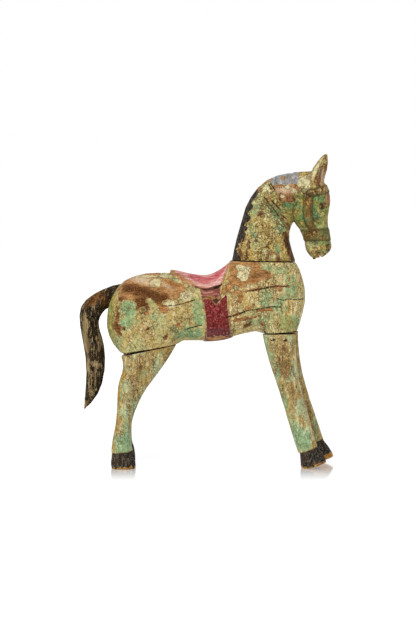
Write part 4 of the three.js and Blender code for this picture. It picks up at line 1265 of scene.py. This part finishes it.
# The rose under the seat turns to a painted shade near the seat's edge and at the panel's foot
shaded = np.maximum(step_up(from_edge, *SEAT_SHADE), step_up(z, *PANEL_FOOT))
set_where(body, "tone", flap_area > 0, step_up(z, *FLAP_FADES))
set_where(body, "tone", panel_area > 0, PANEL_TONE * shaded)
set_where(body, "tone", seat_area > 0, STRIPE_TONE * stripe)
# Where the seat's paint swells past its edge, the dirt and painted shade of the fold are held back
set_values(body, "fold", get_values(body, "fold") + np.where(seat_area > 0, swell, 0))

# A painted shadow, a dark line, lies under the front of the seat, stored with the cracks
below_seat_front = (seat_area < 0) & (x > SHADOW_X[0]) & (x < SHADOW_X[1])
seat_front_shadow = np.where(below_seat_front, -seat_area, FAR_AWAY_MM)
set_values(body, "crack", np.minimum(get_values(body, "crack"), seat_front_shadow))

# The flap's hem and the seat's rims are worn to the wood, and no mint or old cream shows in the saddle
hem_wear = HEM_SLOPE * (FLAP_HEM - z) + HEM_RAGGED * wobble(body_places, HEM_WAVE, seed=17)
saddle_wear = np.where(off_middle > FLAP_SIDE, hem_wear, -FAR_AWAY_MM)
saddle_wear = np.where(panel_area > 0, PANEL_WEAR(x, z), saddle_wear)
seat_wear = deepest(x, z, (SEAT_REAR_RIM, SEAT_REAR_END, SEAT_FRONT_RIM))
set_where(body, "worn", saddled, np.where(seat_area > 0, seat_wear, saddle_wear))
set_where(body, "mint", saddled, -FAR_AWAY_MM)
set_where(body, "kept", saddled, -FAR_AWAY_MM)

# A broken pale line follows the flap's edge
flap_edge = EDGE_LINE_LEVEL + EDGE_LINE_RAGGED * wobble(body_places, EDGE_LINE_WAVE, seed=13)
flap_edge -= EDGE_LINE_SLOPE * np.abs(FLAP(x, z) + 1)
flap_edge = np.where(off_middle > FLAP_SIDE, flap_edge, -FAR_AWAY_MM)
set_values(body, "kept", np.maximum(get_values(body, "kept"), flap_edge))
print("seat worn to the wood on", int(((seat_area > 0) & (seat_wear > 0)).sum()), "vertices")

# %% Flake and paint the body
SHOULDER_X = 70

flake(body, flake_size=13 * MM, ragged=5.0, streak=(1, 1, 0.8), chip_level=0.67, paint_thickness=1.3 * MM,
      gouge_depth=0.9 * MM, material=cream_body)
paint_faces(body, cream_shoulder, body_places[:, 0] - SHOULDER_X)
paint_faces(body, rose_panel, panel_area)
paint_faces(body, crimson_flap, flap_area)
paint_faces(body, pink_seat, seat_area)

# %% [markdown]
# ## The painted mane and bridle
# The mane is only painted: a black field with a saw-toothed border down the back of the neck, rubbed grey on
# the crest. The bridle's straps are carved, so their areas are found from the head's own profile, which the
# frame was cut to. Dirt and a painted shade lie in their folds, less of them on the jaw, the ears and the
# eye.

# %% Areas of the neck and head
MANE = outline(
    (173, 948), (163, 931), (150, 918), (159, 905), (152, 896), (136, 881), (149, 868), (147, 858),
    (133, 849), (124, 840), (138, 833), (136, 825), (126, 819), (133, 812), (128, 798), (125, 785),
    (105, 776), (111, 767), (99, 761), (104, 746), (115, 730), (116, 700), (40, 700), (60, 900),
    (120, 990), (172, 985), (176, 968))
CREST = outline(
    (200, 1000), (228, 978), (244, 984), (266, 978), (308, 982), (316, 994), (314, 1040), (220, 1040))
MANE_RAGGED = 0.8
MANE_WAVE = 14
CREST_RAGGED = 3
CREST_WAVE = 22
HEAD_Z = (725, 737, 757, 778, 803, 829, 856, 889, 922, 957, 996, 1026)
HEAD_BACK = (368, 352, 341, 338, 333, 321, 300, 289, 287, 293, 303, 297)
HEAD_FRONT = (400, 418, 431, 429, 424, 420, 417, 422, 426, 421, 401, 365)
NOSEBAND_Z = (790, 825)
BROWBAND_Z = (941, 961)
BROWBAND_RISE = 14
BROWBAND_X = 342
NOSEBAND_WRAP = 2
CHEEK_STRAP_ALONG = (-0.34, 0.02)
CHEEK_OFF_MIDDLE = 12
THROAT_STRAP = band(10, *THROAT_STRAP_ENDS)
JAW = outline((280, 845), (310, 845), (328, 900), (330, 985), (300, 985), (280, 900))
BRIDLE_FOLD = 0.55
FOLD_OFF_JAW = 4.0
FOLD_OFF_EARS = 2.5
FOLD_OFF_EYE = 0.9
EYE = spot(398, 904, 24, 20)
EYE_FADE = (0, 6)
FOLD_OFF_STRAP = 1.7
STRAP_FADE = (-8, 2)
PALE_THROAT = (835, 865)
BROWBAND_HIGHLIGHT_Z = (940, 952)
EARS_Z = (970, 990)


def strap_depth(places):
    """Depth inside the carved bridle straps; places in millimetres."""
    x, y, z = places.T
    back = np.interp(z, HEAD_Z, HEAD_BACK)
    front = np.interp(z, HEAD_Z, HEAD_FRONT)
    reach = (front - back) / 2
    along = (x - (back + front) / 2) / reach
    cheek = np.minimum(along - CHEEK_STRAP_ALONG[0], CHEEK_STRAP_ALONG[1] - along) * reach
    cheek = np.minimum.reduce([cheek, z - NOSEBAND_Z[0], BROWBAND_Z[0] - z, np.abs(y) - CHEEK_OFF_MIDDLE])
    nose = np.minimum.reduce([z - NOSEBAND_Z[0], NOSEBAND_Z[1] - z, x - back + NOSEBAND_WRAP])
    brow_z = z - BROWBAND_RISE * np.clip(along, 0, 1)
    brow = np.minimum.reduce([brow_z - BROWBAND_Z[0], BROWBAND_Z[1] - brow_z, x - BROWBAND_X])
    return np.maximum.reduce([cheek, nose, brow, THROAT_STRAP(x, z)])


x, _, z = head_places.T
mane_area = MANE(x, z) + MANE_RAGGED * wobble(head_places, MANE_WAVE, seed=9)
crest_area = CREST(x, z) + CREST_RAGGED * wobble(head_places, CREST_WAVE, seed=10)
strap_area = strap_depth(head_places)
pale_throat = step_up(THROAT_STRAP(x, z), 0, 1) * step_up(z, *PALE_THROAT)
# The throat strap is paler towards its top, and the browband's top is a painted highlight in the same pale
# tone
set_where(head, "tone", strap_area > 0, np.maximum(pale_throat, step_up(z, *BROWBAND_HIGHLIGHT_Z)))
# The dirt and painted shade of the folds reach further out on the head, and are taken off jaw, ears, eye and
# strap
folds_taken_off = np.maximum.reduce([
    FOLD_OFF_JAW * step_up(JAW(x, z), 0, FOLD_OFF_JAW), FOLD_OFF_EARS * step_up(z, *EARS_Z),
    FOLD_OFF_EYE * step_up(EYE(x, z), *EYE_FADE), FOLD_OFF_STRAP * step_up(THROAT_STRAP(x, z), *STRAP_FADE)])
set_values(head, "fold", BRIDLE_FOLD * get_values(head, "fold") + folds_taken_off)
flake(head, flake_size=10 * MM, ragged=6.0, streak=(1, 1, 0.7), chip_level=0.67, paint_thickness=1.1 * MM,
      gouge_depth=0.6 * MM, material=cream_neck)
paint_faces(head, grey_crest, crest_area)
paint_faces(head, brown_strap, strap_area)
paint_faces(head, black_paint, mane_area)

# %% [markdown]
# ## Hooves and tail
# Each hoof is the black end of its leg. Its upper border, the coronet, slopes with the foot, and a slow
# wobble makes it look brushed by hand. The soles stay level, so what the flaking lowered is set back on
# the floor.

# %% Areas of the legs and the tail
# Height of the coronet, its slope along the horse, and where along the horse it has that height
CORONET = {"hind": (58, 0.11, -295), "front": (64, 0.36, 350)}
CORONET_RAGGED = 3
CORONET_WAVE = 16

for name, leg in legs.items():
    places = places_mm(leg)
    height, slope, middle_x = CORONET[name.split("_")[0]]
    coronet = height + slope * (places[:, 0] - middle_x)
    coronet += CORONET_RAGGED * wobble(places, CORONET_WAVE, seed=12)
    flake(leg, flake_size=11 * MM, ragged=4.0, streak=(1.6, 1.6, 0.25), chip_level=0.72,
          paint_thickness=0.9 * MM, gouge_depth=0.8 * MM, material=cream_leg)
    paint_faces(leg, black_paint, coronet - places[:, 2])
    for vertex in leg.data.vertices:
        vertex.co.z = max(vertex.co.z, 0.0)
flake(tail, flake_size=6 * MM, ragged=11.0, streak=(2.5, 2.5, 0.4), chip_level=0.59, paint_thickness=0.8 * MM,
      gouge_depth=0.6 * MM, material=black_tail)
print("tail flaked,", len(tail.data.vertices), "vertices")

# %% [markdown]
# ## Fitting to the frame
# Nothing on the horse moves, so every piece rides on the one body. Each carved piece stands for its CAD
# block.

# %% Fit to the frame
for node, piece in (("body", body), ("neck_and_head", head), ("tail", tail), *legs.items()):
    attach(piece, "root")
    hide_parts(node)
